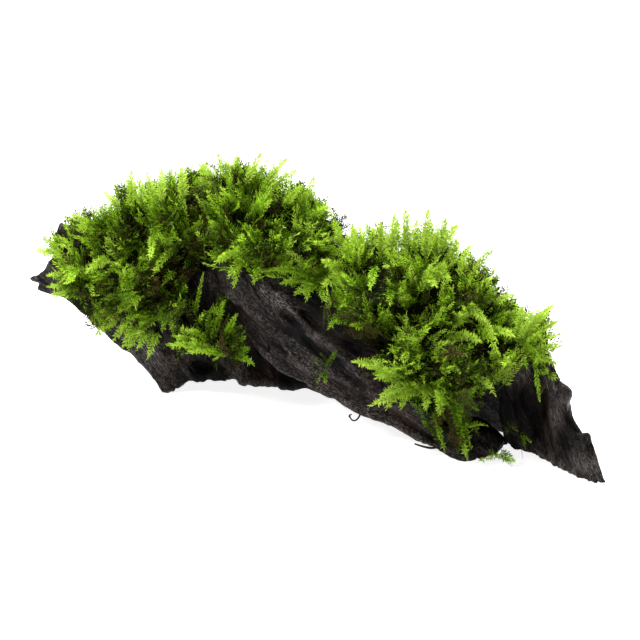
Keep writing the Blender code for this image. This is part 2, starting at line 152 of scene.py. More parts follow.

# Places as seen from the viewpoint: millimetres to the right of the view's middle, above it,
# and nearer than the view's target. Shoots given one by one: root, tip, how far the middle
# arches upward, leaf length, length of the longest side shoots, and freshness.
LEFT_SHOOTS = (
    ((-90, 22, -60), (-103, 25, -61), 1, 2, 2.6, 0.95), ((-93, 24, -60), (-100, 30, -62), 0.5, 1.8, 2, 0.9),
    ((-86, 14, -56), (-98, 16, -60), 1, 2, 2.4, 0.8), ((-84, 11, -55), (-98, 12, -60), 0.8, 2, 2.4, 0.85),
    ((-82, 9, -53), (-97, 9, -58), 0.6, 2, 2.4, 0.75), ((-72, 5, -50), (-83, -1, -53), 1.5, 2.2, 2.8, 0.8),
    ((-70, 2, -50), (-81, -6, -53), 1.6, 2.2, 2.8, 0.85),
    ((-67, -1, -49), (-75, -8, -52), 1.5, 2.2, 2.6, 0.8), ((-64, -3, -48), (-69, -11, -51), 1, 2, 2, 0.7),
    ((-60, -3, -46), (-62, -9, -48), 0.8, 2, 2, 0.6), ((-68, 40, -35), (-68, 54, -41), 0, 2, 2.6, 0.95),
    ((-60, 43, -31), (-62, 53, -36), 0.2, 2, 2.4, 0.9), ((-64, 41, -34), (-65, 51, -39), 0, 2, 2.4, 0.9),
    ((-66, -2, -44), (-71, -10, -49), 1, 2, 2.4, 0.66),
    ((-62, -4, -43), (-66, -11, -48), 0.8, 2, 2.2, 0.62),
    ((-58, -4, -42), (-62, -14, -46), 0.8, 2, 1.8, 0.66), ((-53, 6, -36), (-57, -4, -41), 1, 2, 2.4, 0.6),
    ((-52, 5, -36), (-53, -2, -40), 0.6, 2, 2, 0.5), ((-72, 40, -39), (-78, 46, -44), 0.6, 1.8, 2.2, 0.9),
    ((-82, 33, -53), (-89, 38, -57), 0.6, 1.8, 2.2, 0.9),
    ((-57, 42, -28), (-57, 54.5, -33), 0, 2, 2.4, 0.95), ((-49, 43, -27), (-50, 55, -31), 0, 2, 2.4, 0.95),
    ((-42, 47, -29), (-42, 56, -31), 0.4, 1.8, 2, 0.9), ((-52, 25, -32), (-60, 16, -27), 2, 2, 2.4, 0.75),
    ((-45, 2, -36), (-42, 17, -32), 0.4, 1.3, 0, 0.66), ((-44, 0, -38), (-46, 7, -34), 0.2, 1.2, 0, 0.5),
    ((-68, 13, -34), (-66, 4, -30), 0.5, 2, 1.6, 0.7),
    ((-75, 22, -40), (-84, 17, -38), 1.5, 2.2, 2.6, 0.85),
    ((-60, 32, -32), (-61, 22, -27), 0.5, 2, 1.8, 0.72),
    ((-66, 6, -44), (-77, 0, -47), 1.5, 2.2, 2.6, 0.66),
    ((-63, 3, -43), (-72, -4, -46), 1.5, 2.2, 2.6, 0.6),
    ((-59, 3, -41), (-66, -6, -44), 1.2, 2.2, 2.6, 0.66), ((-55, 5, -39), (-61, -2, -42), 1.2, 2, 2.4, 0.6),
    ((-55, 12, -37), (-62, 8, -38), 1.2, 2, 2.2, 0.55), ((-70, 8, -46), (-80, 5, -48), 1.4, 2.2, 2.6, 0.7),
    ((-52, 18, -33), (-57, 12, -34), 0.8, 1.9, 2, 0.5),
)
CENTRE_SHOOTS = (
    ((-36, 53, -18), (-42, 57, -20), 0.8, 1.5, 0, 0.02),
    ((-38, 50, -17), (-43, 52, -19), 0.4, 1.5, 0, 0.02),
    ((-33, 52, -17), (-37, 60, -19), 0.4, 1.8, 2, 0.85),
    ((-27, 48, -15), (-21, 60, -19), 0.8, 2, 2.4, 0.95), ((-20, 48, -9), (-12, 58, -12), 0.6, 2, 2.2, 0.95),
    ((-16, 48, -5), (-8, 54, -7), 0.5, 1.7, 1.8, 0.9), ((-4, 42, -5), (-2, 52, -7), 0, 1.9, 2, 0.95),
    ((-13, 41, -3), (-7, 48, -5), 0.4, 1.8, 2, 0.85), ((-3, 37, -4), (4, 41, -5), 0.6, 1.9, 2.2, 0.95),
    ((6, 27, -6), (7, 33, -7), 0, 1.7, 1.6, 0.9), ((0, 15, -12), (-12, 25, -4), 0.8, 2, 2.6, 0.85),
    ((0, 15, -12), (-17, 18, -5), 1.4, 2, 2.6, 0.7), ((0, 14, -13), (-14, 13, -7), 1.4, 2, 2.6, 0.72),
    ((0, 13, -14), (-9, 9, -9), 1.2, 2, 2.6, 0.78), ((0, 13, -14), (1, 7, -11), 0.8, 2, 2, 0.6),
    ((9, 17, -7), (1, 21, -1), 0.8, 2.2, 2.8, 0.92), ((9, 15, -8), (1, 12, -2), 1.2, 2.2, 2.8, 0.9),
    ((-28, 24, -10), (-38, 20, -8), 1.4, 2.2, 2.6, 0.88), ((-27, 22, -10), (-33, 15, -8), 1.4, 2, 2.2, 0.6),
    ((-22, 22, -8), (-24, 13, -6), 0.8, 1.9, 2, 0.55), ((-29, 21, -11), (-31, 12, -11), 0.6, 1.9, 1.8, 0.6),
    ((-4, 16, -12), (-5, 7, -11), 0.8, 2, 2, 0.65), ((-22, 52, -13), (-18, 58, -15), 0.2, 1.8, 2, 0.95),
    ((-30, 52, -18), (-30, 59, -20), 0, 1.8, 2, 0.9),
)
RIGHT_SHOOTS = (
    ((43, -25, 6), (18, -31, 9), 2, 2.3, 2.6, 0.9), ((38, -24, 8), (22, -27, 11), 1.6, 2.3, 2.8, 0.85),
    ((29, -19, 5), (12, -15, 8), 0.8, 2.2, 2.2, 0.85), ((34, -20, 7), (20, -21, 11), 1.6, 2.3, 2.8, 0.8),
    ((43, -22, 8), (43, -34, 12), 0.8, 2.3, 2.6, 0.92), ((48, -22, 12), (51, -30, 15), 0.8, 2.2, 2.4, 0.92),
    ((39, -22, 8), (38, -32, 12), 0.6, 2.3, 2.6, 0.85), ((56, -21, 18), (63, -27, 19), 1.6, 2, 1.8, 0.95),
    ((38, 22, 9), (39, 40, 5), 0.2, 2.2, 3, 0.97), ((43, 23, 8), (50, 34, 5), 2, 2, 2, 0.97),
    ((42, 24, 7), (45.5, 36.5, 3), 0.6, 2, 2.4, 0.97), ((31, 24, 5), (31, 40, 1), 0.2, 2.2, 2.8, 0.97),
    ((26, 24, 3), (27, 38.5, -1), 0.2, 2.1, 2.6, 0.97), ((34, 24, 6), (35, 36, 3), 0.2, 2, 2.4, 0.95),
    ((22, 22, 1), (22, 35, -3), 0.2, 2, 2.4, 0.95), ((50, 16, 11), (54, 27, 8), 0.6, 2, 2.2, 0.95),
    ((48, 19, 10), (49, 29, 7), 0.2, 2, 2.2, 0.9), ((19, 25, -4), (19, 33, -6), 0.2, 1.9, 2.2, 0.95),
    ((8, 27, -6), (5, 36, -9), 0.2, 1.8, 2.2, 0.9), ((13, 25, -5), (12, 33, -8), 0, 1.8, 2.2, 0.95),
    ((55, 17, 11), (62, 25, 8), 0.6, 1.8, 1.8, 0.85), ((56, 10, 15), (62, 15, 12), 0.8, 1.8, 1.8, 0.85),
    ((62, 5, 16), (70, 9, 14), 0.8, 1.8, 1.8, 0.85), ((54, 18, 11), (56, 26, 9), 0, 1.2, 0, 0.02),
    ((63, 7, 15), (66, 12, 13), 0.2, 1.3, 0, 0.05), ((67, 1, 18), (76, 1, 16), 1.2, 1.9, 1.8, 0.9),
    ((60, -4, 19), (70, -6, 23), 1.2, 2, 2, 0.8), ((48, -6, 14), (58, -8, 20), 1.2, 2, 2.4, 0.82),
    ((42, -14, 11), (53, -13, 19), 1.4, 2.2, 2.4, 0.85), ((24, -4, 4), (11, -2, 7), 0.8, 1.9, 1.8, 0.42),
    ((51, 6, 13), (60, -1, 20), 1.2, 2, 2.4, 0.85), ((54, 4, 14), (64, -8, 22), 1.4, 2, 2.4, 0.9),
    ((56, -2, 16), (65, -13, 22), 1.4, 2, 2.4, 0.75), ((36, 16, 8), (42, 12, 14), 1, 2, 2.2, 0.7),
    ((40, 20, 8), (47, 14, 13), 1, 2, 2.2, 0.8), ((20, 20, 1), (18, 11, 6), 0.8, 2, 2, 0.52),
    ((26, 14, 4), (25, 5, 9), 0.8, 2, 2, 0.5), ((14, 10, 0), (7, 4, 4), 0.8, 1.9, 1.8, 0.45),
    ((10, 4, 0), (3, -3, 2), 0.8, 1.9, 1.6, 0.42), ((33, -24, 6), (29, -32, 9), 0.8, 2.1, 2.2, 0.8),
    ((30, -24, 6), (24, -32, 9), 1, 2.1, 2.2, 0.75), ((27, 27, 0), (28, 36, -2), 0.2, 1.9, 2.2, 0.97),
)
BLADE_SHOOTS = (
    ((73, -9, 25), (84, 5.5, 22), 1.8, 2.1, 1, 0.97), ((73, -8, 25), (81, 3, 22), 1.6, 2, 1.4, 0.97),
    ((74, -10, 26), (86, -0.5, 22), 1.8, 2.1, 0.8, 0.97), ((75, -11, 26), (87, -5, 23), 1.6, 2.1, 0, 0.97),
    ((75, -13, 27), (87, -9.5, 25), 1.4, 2.1, 0.8, 0.97),
    ((76, -14, 27), (85, -16, 25), 1.2, 1.9, 1.6, 0.8), ((72, -8, 24), (77, 3, 22), 0.6, 1.9, 1.6, 0.9),
    ((71, -6, 23), (73, 5, 21), 0.4, 1.8, 1.6, 0.8), ((74, -12, 24), (81, 1, 19), 1, 1.9, 1.6, 0.85),
    ((73, -13, 25), (80, -4, 25), 1, 1.9, 1.6, 0.7), ((72, -13, 24), (75, -18, 27), 1, 1.9, 1.4, 0.5),
    ((70, -11, 23), (66, -17, 25), 1, 1.9, 1.6, 0.6), ((74, -10, 20), (85, -6, 15), 1.2, 1.9, 1.4, 0.6),
    ((74, -9, 18), (83, 3, 13), 1.2, 1.9, 1.4, 0.7), ((76, -15, 22), (82, -19, 18), 1.2, 1.9, 1, 0.5),
    ((77, -11, 27), (79, -29, 24), 0, 1.7, 0, 0.64), ((71, -9, 24), (79, -13, 28), 1.4, 1.8, 1.4, 0.4),
)
FRONT_SHOOTS = (
    ((-33, -13, -29), (-55, -9, -33), 1.6, 2.1, 1.8, 0.68),
    ((-36, -12, -31), (-53, -6, -35), 1.4, 1.8, 1.6, 0.56),
    ((-40, -8, -31), (-48, -4, -34), 1.2, 1.9, 1.8, 0.6),
    ((-35, -13, -28), (-48, -12, -30), 1.4, 2, 1.6, 0.66),
    ((-33, -12, -28), (-38, -14.5, -28), 1, 2, 1.6, 0.65),
    ((-39, -8, -30), (-35, 5, -29), 0.2, 1.7, 1.2, 0.45),
    ((-40, -8, -31), (-40, 2, -30), 0.4, 1.6, 1.2, 0.35),
    ((-35, -8, -29), (-30, 2, -27), 0.2, 1.7, 1.2, 0.55),
    ((-36, -8, -30), (-33, -1, -28), 0.2, 1.5, 0, 0.3),
    ((-32, -10, -28), (-27, -6, -26), 0.4, 1.6, 1.2, 0.35),
    ((-31, -12, -28), (-26, -10, -26), 0.4, 1.6, 1.2, 0.35),
    ((-32, -13, -29), (-24, -16, -28), 1, 2, 1.4, 0.47),
    ((-38, -9, -33), (-42, -5, -33), 0.6, 1.8, 1.6, 0.3),
)
HANGING_SHOOTS = (
    ((47, -27, 9), (53, -50, 6), 0, 2.2, 1.4, 0.45), ((49, -29, 8), (54, -45, 6), 0.5, 2.2, 1.4, 0.43),
    ((41, -33, 9), (45, -47, 7), 0, 2, 1.2, 0.55), ((43, -32, 8), (42, -40, 8), 0.5, 1.9, 1.2, 0.23),
    ((46, -31, 8), (48, -42, 6), 0.5, 1.9, 1.4, 0.2), ((48, -27, 11), (52, -34, 11), 0.6, 2, 1.4, 0.43),
    ((50, -28, 10), (57, -33, 9), 1, 1.9, 1.4, 0.33), ((52, -39, 8), (60, -38, 8), 1.2, 1.7, 0, 0.63),
    ((45, -30, 10), (40, -37, 10), 0.6, 1.9, 1.4, 0.28), ((51, -33, 9), (57, -41, 6), 0.6, 1.9, 1.2, 0.28),
    ((47, -36, 8), (50, -48, 5), 0.4, 1.9, 1.2, 0.23),
)
LIMB_SHOOTS = (
    ((2, -18, -10), (6, -11, -8), 0.2, 1.3, 0.9, 0.33), ((2, -17, -10), (-3, -14, -8), 0.3, 1.2, 0.8, 0.3),
    ((3, -15, -10), (0, -12, -8), 0.2, 1.1, 0, 0.3), ((2, -17, -10), (-1, -23, -8), 0.2, 1.3, 0.9, 0.37),
    ((2, -18, -10), (2, -23, -8), 0.2, 1.3, 0.9, 0.39), ((2, -18, -10), (-3, -19, -8), 0.2, 1.1, 0, 0.32),
)
CAVITY_SHOOTS = (
    ((57, -31, -1), (73, -43, 1), -0.6, 0.5, 0, 0.2), ((57, -31, -1), (59, -30, 0), 0.4, 1.7, 0, 0.32),
    ((58, -32, -1), (56, -32, 0), 0.4, 1.6, 0, 0.32), ((67, -37, 0), (71, -40, 2), 0.5, 1.5, 0, 0.32),
    ((68, -38, 0), (67, -41, 2), 0.4, 1.4, 0, 0.32), ((72, -40, 1), (74, -46, 2), 0.2, 1.5, 0.8, 0.46),
    ((72, -42, 1), (76, -44, 2), 0.4, 1.3, 0, 0.5), ((72, -43, 1), (73, -50, 1), 0, 0.4, 0, 0.2),
)
FALLEN_SHOOTS = (
    ((66, -49, 3), (57, -51, 5), 0.6, 1.6, 1.2, 0.85), ((64, -49, 3), (70, -51, 4), 0.4, 1.9, 1.6, 0.56),
    ((65, -48, 3), (69, -49, 3), 0.6, 1.9, 1.4, 0.5), ((65, -49, 4), (68, -51, 4), 0.3, 1.8, 1.2, 0.5),
    ((67, -50, 4), (69, -53, 5), 0.3, 1.2, 0, 0.75), ((64, -49, 3), (61, -47, 2), 0.3, 1.2, 0, 0.4),
)

# Where the moss is older or fresher than elsewhere: place, radius and change of freshness.
PATCHES = (
    ((-34, 51, -17), 7, -0.25), ((-39, 38, -15), 9, -0.4), ((-20, 35, -5), 6, -0.45),
    ((-54, 20, -35), 7, -0.3), ((-91, 28, -60), 4, -0.3), ((-71, 38, -40), 7, -0.25),
    ((20, 12, 4), 7, -0.3), ((34, 11, 10), 6, -0.22), ((17, -6, 6), 7, -0.3), ((11, 5, 3), 8, -0.3),
    ((52, -16, 18), 6, -0.2), ((34, 2, 8), 34, 0.1), ((-16, 34, -8), 20, 0.1), ((34, -16, 9), 10, 0.15),
    ((33, 30, 0), 11, 0.22), ((14, 28, 0), 10, 0.22), ((44, 26, 6), 8, 0.2), ((26, 25, 2), 9, 0.18),
    ((66, 2, 18), 7, 0.12), ((-88, 20, -58), 12, 0.12), ((-50, 47, -30), 10, 0.14),
    ((-4, 30, -6), 10, 0.12), ((-66, 14, -40), 18, -0.1), ((-10, 32, -6), 16, 0.1),
    ((-35, -8, -28), 10, -0.4), ((47, -38, 8), 10, -0.48), ((70, -8, 22), 4, -0.3), ((76, -10, 25), 9, 0.2),
)

# Where the moss stands higher, lower or not at all, as seen from the viewpoint: place to the
# right and above, radius, and how much higher.
STANDS = (
    ((-94.5, 5), 3.5, -25), ((-93, 1), 3, -25), ((-89, 3.5), 3.4, -25), ((-86, -0.5), 3.2, -25),
    ((-83.5, -5), 2.6, -25), ((-50, 19), 3, -9), ((-45, 21), 3, -9), ((-35, 17), 4, -9), ((-24, 15), 3, -7),
    ((-29, 15.5), 3, -7), ((-39, 6), 5, -9), ((-34, 2), 3, -7), ((-50, 1), 3, -7), ((-43, -14.4), 3, -7),
    ((-36, -16.5), 3, -7), ((-25, -11), 3.5, -8), ((-32, -17.5), 3, -9), ((-45, 8), 3, -7),
    ((3.6, 6), 4, -8), ((0, 6.5), 3, -8), ((8, 0), 3, -7), ((12, -5), 3, -8), ((20.5, -7), 4, -9),
    ((16, -11), 3, -8), ((22, -26.4), 2.5, -7), ((64, 16), 6, -5), ((60, 20), 4, -2.5), ((33.6, 33), 3, -3),
    ((4, 36), 4, -8), ((-6, 49), 3, -3), ((-46, 55), 3, -2), ((68, -20), 5, -9), ((66, -26), 4, -9),
    ((73, -21), 5, -9), ((73, -29), 4, -9), ((81.5, -27), 4, -9), ((80, -21), 3, -7), ((81.5, 2), 2.5, -8),
    ((83, -1), 3, -9), ((85.5, -3.5), 3, -9), ((86, -8), 3, -9), ((85, -13), 3, -8), ((39, -34), 3.5, -9),
    ((41, -41), 3.5, -9), ((48, -42), 2, -7), ((54, -49), 2.5, -8), ((46, -47.5), 6, -10),
    ((57, -35), 4, -9), ((60, -31), 4, -9), ((54, -30), 3, -7), ((-94, 32.5), 3, -9), ((-61, 50), 4.5, 3),
    ((-18, 54.6), 5, 3), ((-39, 56), 3.5, 2.5), ((28, 34.5), 3, 4), ((55, 24.5), 3.5, 2.5),
    ((-77, 41), 4, 3), ((-99.6, 24), 4, 2.5), ((-25, 57), 3, 1.5), ((-11, 52), 3, 1.5), ((2, 41), 3, 1.5),
    ((12, 32), 4, 1.5), ((18, 33), 4, 1.5),
)

# Stains on the wood: place as seen from the viewpoint, radius and strength.
BROWN_STAINS = (
    ((-21, -14, -52), 8, 0.6), ((-16, -22, -50), 8, 0.5), ((-54, -16, -52), 5, 0.5),
    ((-44, -24, -48), 8, 0.35), ((7, -1, -14), 5, 0.3), ((0, -8, -14), 4, 0.3), ((19, -24, -10), 6, 0.35),
    ((30, -36, -6), 8, 0.35), ((72, -22, 4), 4, 0.5), ((73, -30, 4), 4, 0.5), ((76, -38, 4), 5, 0.4),
    ((84, -34, 8), 10, 0.25),
)
OLIVE_STAINS = (
    ((-26, 6, -19), 5, 0.5), ((-20, 0, -17), 4, 0.55), ((-12, -7, -15), 4, 0.5), ((-6, -12, -13), 3, 0.4),
    ((-30, 8, -21), 5, 0.4), ((71, -36, 3), 2.5, 0.5), ((60, -46, -2), 4, 0.3), ((-2, 2, -16), 3, 0.3),
)

# Hollows, holes, notches and the under-edge of the limb, painted near black as shade, and patches of rough
# worn wood with bright grains painted as glints.
HOLLOW_SHADE_SPOTS = (
    ((13, -6, -11), 6, 0.9), ((7, 0, -12), 5, 0.9), ((0, 4, -15), 4, 0.9), ((-6, 10, -18), 4, 0.7),
    ((-36, 7, -30), 3, 0.9), ((-31, 2, -30), 2.5, 0.9), ((-41, -19.5, -50.5), 4, 1.2),
    ((-22, -17, -54), 4, 0.9), ((-12, -21, -57), 5, 1), ((-4, -23, -55), 4, 1), ((79, -40, -1), 5, 0.5),
    ((72, -29, -1), 5, 0.6), ((-42, -18, -51), 3.5, 1.2), ((-38, -20, -50.5), 3.5, 1.2),
    ((-36, -21.5, -50.5), 2.5, 1), ((89, -41, 13), 5, 0.35), ((86, -48, 9), 6, 0.4),
    ((81, -36, 6), 5, 0.35), ((95, -42, 14), 3.5, 0.4), ((62, -33, -4), 6, 1), ((56, -36, -2), 4, 0.6),
    ((-6, 12, -18), 5, 0.8), ((20, -14, -10), 5, 0.7), ((-38, 2, -44), 8, 0.9), ((-29, 3, -36), 6, 0.8),
    ((-24, -11, -52), 4.5, 0.9), ((-8, -22, -32), 9, 0.9), ((3, -26, -28), 8, 0.9),
    ((55, -32, -8), 10, 0.9), ((60, -24, -10), 8, 0.9), ((50, -38, -6), 6, 0.7), ((-45, -20, -50), 6, 0.6),
    ((79, -26, 6), 4, 0.5), ((88, -44, 12), 5, 0.5),
)
COARSE_GLINT_PATCHES = (
    ((-20, 12, -20), 4, 0.8), ((-15, 8, -18), 4, 0.9), ((-12, 3, -16), 3.5, 0.8), ((-25, 5, -19), 3.5, 0.8),
    ((-21, -1, -18), 3.5, 0.9), ((-16, -6, -17), 3.5, 0.9), ((-11, -11, -16), 3.5, 0.9),
    ((-5, -17, -14), 3.5, 0.8), ((1, -23, -13), 3.5, 0.8), ((9, -29, -12), 3.5, 0.7),
    ((18, -33, -10), 3.5, 0.6), ((27, -38, -8), 4, 0.6), ((-1, -5, -14), 3, 0.6), ((5, -10, -13), 3, 0.6),
    ((12, -17, -12), 3.5, 0.6), ((36, -43, -6), 4, 0.6), ((84, -36, 9), 4.5, 1.1),
    ((94, -51, 14), 4.5, 1.1), ((83, -24, 12), 4, 0.9), ((73, -19, 3), 4, 0.7), ((-59, -15, -53), 5, 0.6),
    ((-52, -21, -50), 5, 0.6), ((-62, -10, -56), 5, 0.6), ((-96, 14, -66), 5, 0.6),
    ((-52, -26, -49), 3, 0.7), ((-30, -18.5, -52), 4, 0.5), ((-40, -22, -48), 4, 0.5),
    # The last five patches run along the blade's lower lip, painted as a bright line catching the light.
    ((98, -55, 16), 3, 0.9), ((89, -29, 15), 3, 0.8), ((75, -46.5, -1), 1.6, 1.6),
    ((79, -48.5, 1), 1.6, 1.6), ((83, -50.5, 3.5), 1.6, 1.6), ((87, -52.6, 6), 1.6, 1.6),
    ((91, -54.6, 9), 1.6, 1.6),
)

# Hair roots: the node each replaces, points along its strands, and their radius at root and tip.
ROOTLETS = (
    ("rootlet_curl", (
        ((27.6, -17, 16), (28.6, -21.3, 13), (29, -22.4, 11), (27.9, -22.9, 8.9), (26.1, -22.9, 8.2),
         (24.9, -22.7, 9.3), (24.6, -22.5, 10.3)),
        ((24.9, -22.7, 9.3), (24.2, -22.7, 10), (25.6, -22.7, 10.6)),
    ), 0.42, 0.22),
    ("rootlet_stub", (((62, -16, 4.5), (58.6, -20, 3.2), (54.6, -21.3, 3.4), (51.1, -21.9, 4.2)),), 0.6, 0.3),
)


class StageSettings(bpy.types.PropertyGroup):
    """The floor and the light."""

    floor_colour: FloatVectorProperty(
        name="Floor", description="Colour of the pale floor", subtype="COLOR", default=(0.42, 0.42, 0.42))
    glow: FloatProperty(
        name="Glow", description="How strongly the floor shines by itself", default=0.86, min=0.0)
    sky: FloatProperty(
        name="Sky", description="Strength of the light from all around", default=0.28, min=0.0)
    lamp: FloatProperty(
        name="Lamp", description="Power of the soft lamp overhead", subtype="POWER", default=30.0)
    fill: FloatProperty(
        name="Fill", description="Power of the soft lamp in front", subtype="POWER", default=9.0)


class WoodSettings(bpy.types.PropertyGroup):
    """Sizes and colours of the driftwood."""

    voxel: FloatProperty(
        name="Detail", description="Size of the smallest modelled detail", unit="LENGTH", default=0.0008)
    relief: FloatProperty(
        name="Relief", description="How much of the full height the grain has", subtype="FACTOR", default=1.0)
    # Darker furrows and lighter ridges are partly worn wood and partly painted shade in the furrows.
    dark: FloatVectorProperty(
        name="Furrows", description="Colour of the wet wood in its furrows", subtype="COLOR",
        default=(0.0008, 0.0006, 0.0005))
    worn: FloatVectorProperty(
        name="Worn wood", description="Colour of the wood on its ridges", subtype="COLOR",
        default=(0.0056, 0.0041, 0.0037))
    # Painted glints: the colour of the bright grains on worn wood stands in for highlights.
    light: FloatVectorProperty(
        name="Grains", description="Colour of the bright grains in worn wood", subtype="COLOR",
        default=(0.165, 0.138, 0.128))
    brown: FloatVectorProperty(
        name="Stain", description="Colour of the brown stains", subtype="COLOR",
        default=(0.016, 0.0085, 0.005))
    olive: FloatVectorProperty(
        name="Moss stain", description="Colour of the wood stained by moss", subtype="COLOR",
        default=(0.011, 0.010, 0.003))
    most_triangles: IntProperty(
        name="Triangles", description="The most triangles in the wood", default=190000)


class MossSettings(bpy.types.PropertyGroup):
    """Sizes and colours of the moss."""

    leaf: FloatProperty(name="Leaf", description="Length of a leaf", unit="LENGTH", default=0.0021)
    leaf_spacing: FloatProperty(
        name="Leaf spacing", description="Distance between leaves on one side of a shoot", unit="LENGTH",
        default=0.0008)
    shoot: FloatProperty(
        name="Shoot", description="Length of a full-grown shoot", unit="LENGTH", default=0.0125)
    spacing: FloatProperty(
        name="Shoot spacing", description="Distance between shoots", unit="LENGTH", default=0.003)
    tip: FloatVectorProperty(
        name="Tips", description="Colour of fresh tips", subtype="COLOR", default=(0.47, 0.64, 0.08))
    fresh: FloatVectorProperty(
        name="Fresh", description="Colour of fresh leaves", subtype="COLOR", default=(0.26, 0.51, 0.006))
    deep: FloatVectorProperty(
        name="Deep", description="Colour of old leaves", subtype="COLOR", default=(0.03, 0.08, 0.0025))
    withered: FloatVectorProperty(
        name="Withered", description="Colour of withered leaves", subtype="COLOR",
        default=(0.062, 0.045, 0.012))
    seed: IntProperty(name="Seed", description="Changes how the shoots fall", default=7)


class Value:
    """One output of a shader node, so that shader maths reads as Python."""

    def __init__(self, finish, socket):
        self.finish = finish
        self.socket = socket

    def math(self, operation, first, second):
        return self.finish.add("ShaderNodeMath", {"operation": operation}, {0: first, 1: second})

    def __add__(self, other):
        return self.math("ADD", self, other)

    def __radd__(self, other):
        return self.math("ADD", other, self)

    def __sub__(self, other):
        return self.math("SUBTRACT", self, other)

    def __rsub__(self, other):
        return self.math("SUBTRACT", other, self)

    def __mul__(self, other):
        return self.math("MULTIPLY", self, other)

    def __rmul__(self, other):
        return self.math("MULTIPLY", other, self)


class Finish:
    """A material under construction."""

    def __init__(self, name):
        self.material = bpy.data.materials.new(name)
        self.material.use_nodes = True
        self.tree = self.material.node_tree
        self.tree.nodes.clear()

    def add(self, kind, settings=None, values=None, output=0):
        """Add a node, its settings first and then its sockets, and give one of its outputs if it has any."""
        node = self.tree.nodes.new(kind)
        for name, setting in (settings or {}).items():
            setattr(node, name, setting)
        for name, value in (values or {}).items():
            if isinstance(value, Value):
                self.tree.links.new(value.socket, node.inputs[name])
            else:
                node.inputs[name].default_value = value
        return Value(self, node.outputs[output]) if node.outputs else None

    def mix(self, share, first, second):
        """A colour between two others."""
        first, second = (
            colour if isinstance(colour, Value) else (*colour, 1.0) for colour in (first, second))
        return self.add("ShaderNodeMix", {"data_type": "RGBA"}, {0: share, 6: first, 7: second}, output=2)

    def span(self, value, low, high, start=0.0, end=1.0):
        """Bring a value from the range low to high into the range start to end."""
        return self.add("ShaderNodeMapRange", {"clamp": True}, {0: value, 1: low, 2: high, 3: start, 4: end})

    def noise(self, vector, scale, detail=3.0, roughness=0.55):
        """Noise on a vector scaled in each direction, with one hill or dip for each unit."""
        scaled = self.add("ShaderNodeVectorMath", {"operation": "MULTIPLY"}, {0: vector, 1: scale})
        return self.add("ShaderNodeTexNoise", None,
                        {"Vector": scaled, "Scale": 1.0, "Detail": detail, "Roughness": roughness})

    def end(self, shader):
        """Finish the material with its surface."""
        self.add("ShaderNodeOutputMaterial", None, {"Surface": shader})
        return self.material


def unit(vectors):
    """Vectors of length 1."""
    return vectors / (np.linalg.norm(vectors, axis=-1, keepdims=True) + 1e-12)


def lattice(cells, seed):
    """A steady random number from -1 to 1 for each whole-numbered cell."""
    mixed = cells[:, 0] * 73856093 ^ cells[:, 1] * 19349663 ^ cells[:, 2] * 83492791 ^ seed * 2654435761
    mixed = ((mixed ^ (mixed >> 13)) * 1274126177) & 0x7FFFFFFF
    mixed ^= mixed >> 15
    return mixed / 0x3FFFFFFF - 1.0


def noise(points, seed):
    """Smooth noise from -1 to 1, with one hill or dip for each unit."""
    low = np.floor(points).astype(np.int64)
    part = points - low
    ease = part * part * (3 - 2 * part)
    total = np.zeros(len(points))
    for corner in itertools.product((0, 1), repeat=3):
        share = np.prod(np.where(corner, ease, 1 - ease), axis=1)
        total += share * lattice(low + corner, seed)
    return total


def placed(name, data):
    """A new object in the scene."""
    made = bpy.data.objects.new(name, data)
    bpy.context.scene.collection.objects.link(made)
    return made


def gather(mesh):
    """A mesh's points and outward normals as arrays."""
    points = np.zeros(len(mesh.vertices) * 3)
    mesh.vertices.foreach_get("co", points)
    normals = np.zeros(len(mesh.vertices) * 3)
    mesh.vertex_normals.foreach_get("vector", normals)
    return points.reshape(-1, 3), normals.reshape(-1, 3)


def evaluated_mesh(made, *steps):
    """The mesh that an object has after modifiers given as type and settings. The object is removed."""
    for kind, settings in steps:
        modifier = made.modifiers.new(kind.title(), kind)
        for name, value in settings.items():
            setattr(modifier, name, value)
    evaluated = made.evaluated_get(bpy.context.evaluated_depsgraph_get())
    mesh = bpy.data.meshes.new_from_object(evaluated)
    bpy.data.objects.remove(made)
    return mesh


def solid_of(nodes, grow=0.0):
    """One object with a copy of the nodes' solids, grown outward a little."""
    points, faces = [], []
    count = 0
    for name in nodes:
        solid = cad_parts[name].data
        place, normal = gather(solid)
        points.append(place + normal * grow)
        faces += [tuple(index + count for index in face.vertices) for face in solid.polygons]
        count += len(place)
    mesh = bpy.data.meshes.new("solid")
    mesh.from_pydata(np.vstack(points), [], faces)
    return placed("solid", mesh)


def surface_tree(mesh):
    """A mesh's surface, for finding where straight ways meet it."""
    return BVHTree.FromPolygons(
        [vertex.co for vertex in mesh.vertices], [face.vertices[:] for face in mesh.polygons])


def wood_tree():
    """The wood's surface."""
    made = solid_of(WOOD_NODES)
    tree = surface_tree(made.data)
    bpy.data.objects.remove(made)
    return tree


def clear_way(tree, points, directions, farthest):
    """How far one can go from each point before meeting a surface, and farthest where nothing is met."""
    found = np.full(len(points), farthest)
    for index, (point, direction) in enumerate(zip(points, directions)):
        hit = tree.ray_cast(Vector(point), Vector(direction), farthest)
        if hit[0] is not None:
            found[index] = hit[3]
    return found


def distance_to(points, line):
    """How far each point is from one place, or from a line through several places."""
    line = np.asarray(line, float)
    if line.ndim == 1:
        return np.linalg.norm(points - line, axis=1)
    best = np.full(len(points), np.inf)
    for start, end in zip(line, line[1:]):
        run = end - start
        share = np.clip((points - start) @ run / (run @ run), 0.0, 1.0)
        best = np.minimum(best, np.linalg.norm(points - start - share[:, None] * run, axis=1))
    return best


def hills(points, table, height=0.0):
    """A height with soft hills added at the places or lines of a table of place, radius and lift."""
    height = np.zeros(len(points)) + height
    for place, radius, lift in table:
        height += lift * np.exp(-(distance_to(points, place) / radius) ** 2)
    return height


def seen_at(places):
    """Points in the frame's millimetres from places as seen from the viewpoint."""
    places = np.atleast_2d(np.asarray(places, float))
    sideways = (RIGHT * places[:, 0:1] + ABOVE * places[:, 1:2]) / VIEW_DISTANCE
    return EYE + (AHEAD + sideways) * (VIEW_DISTANCE - places[:, 2:3])


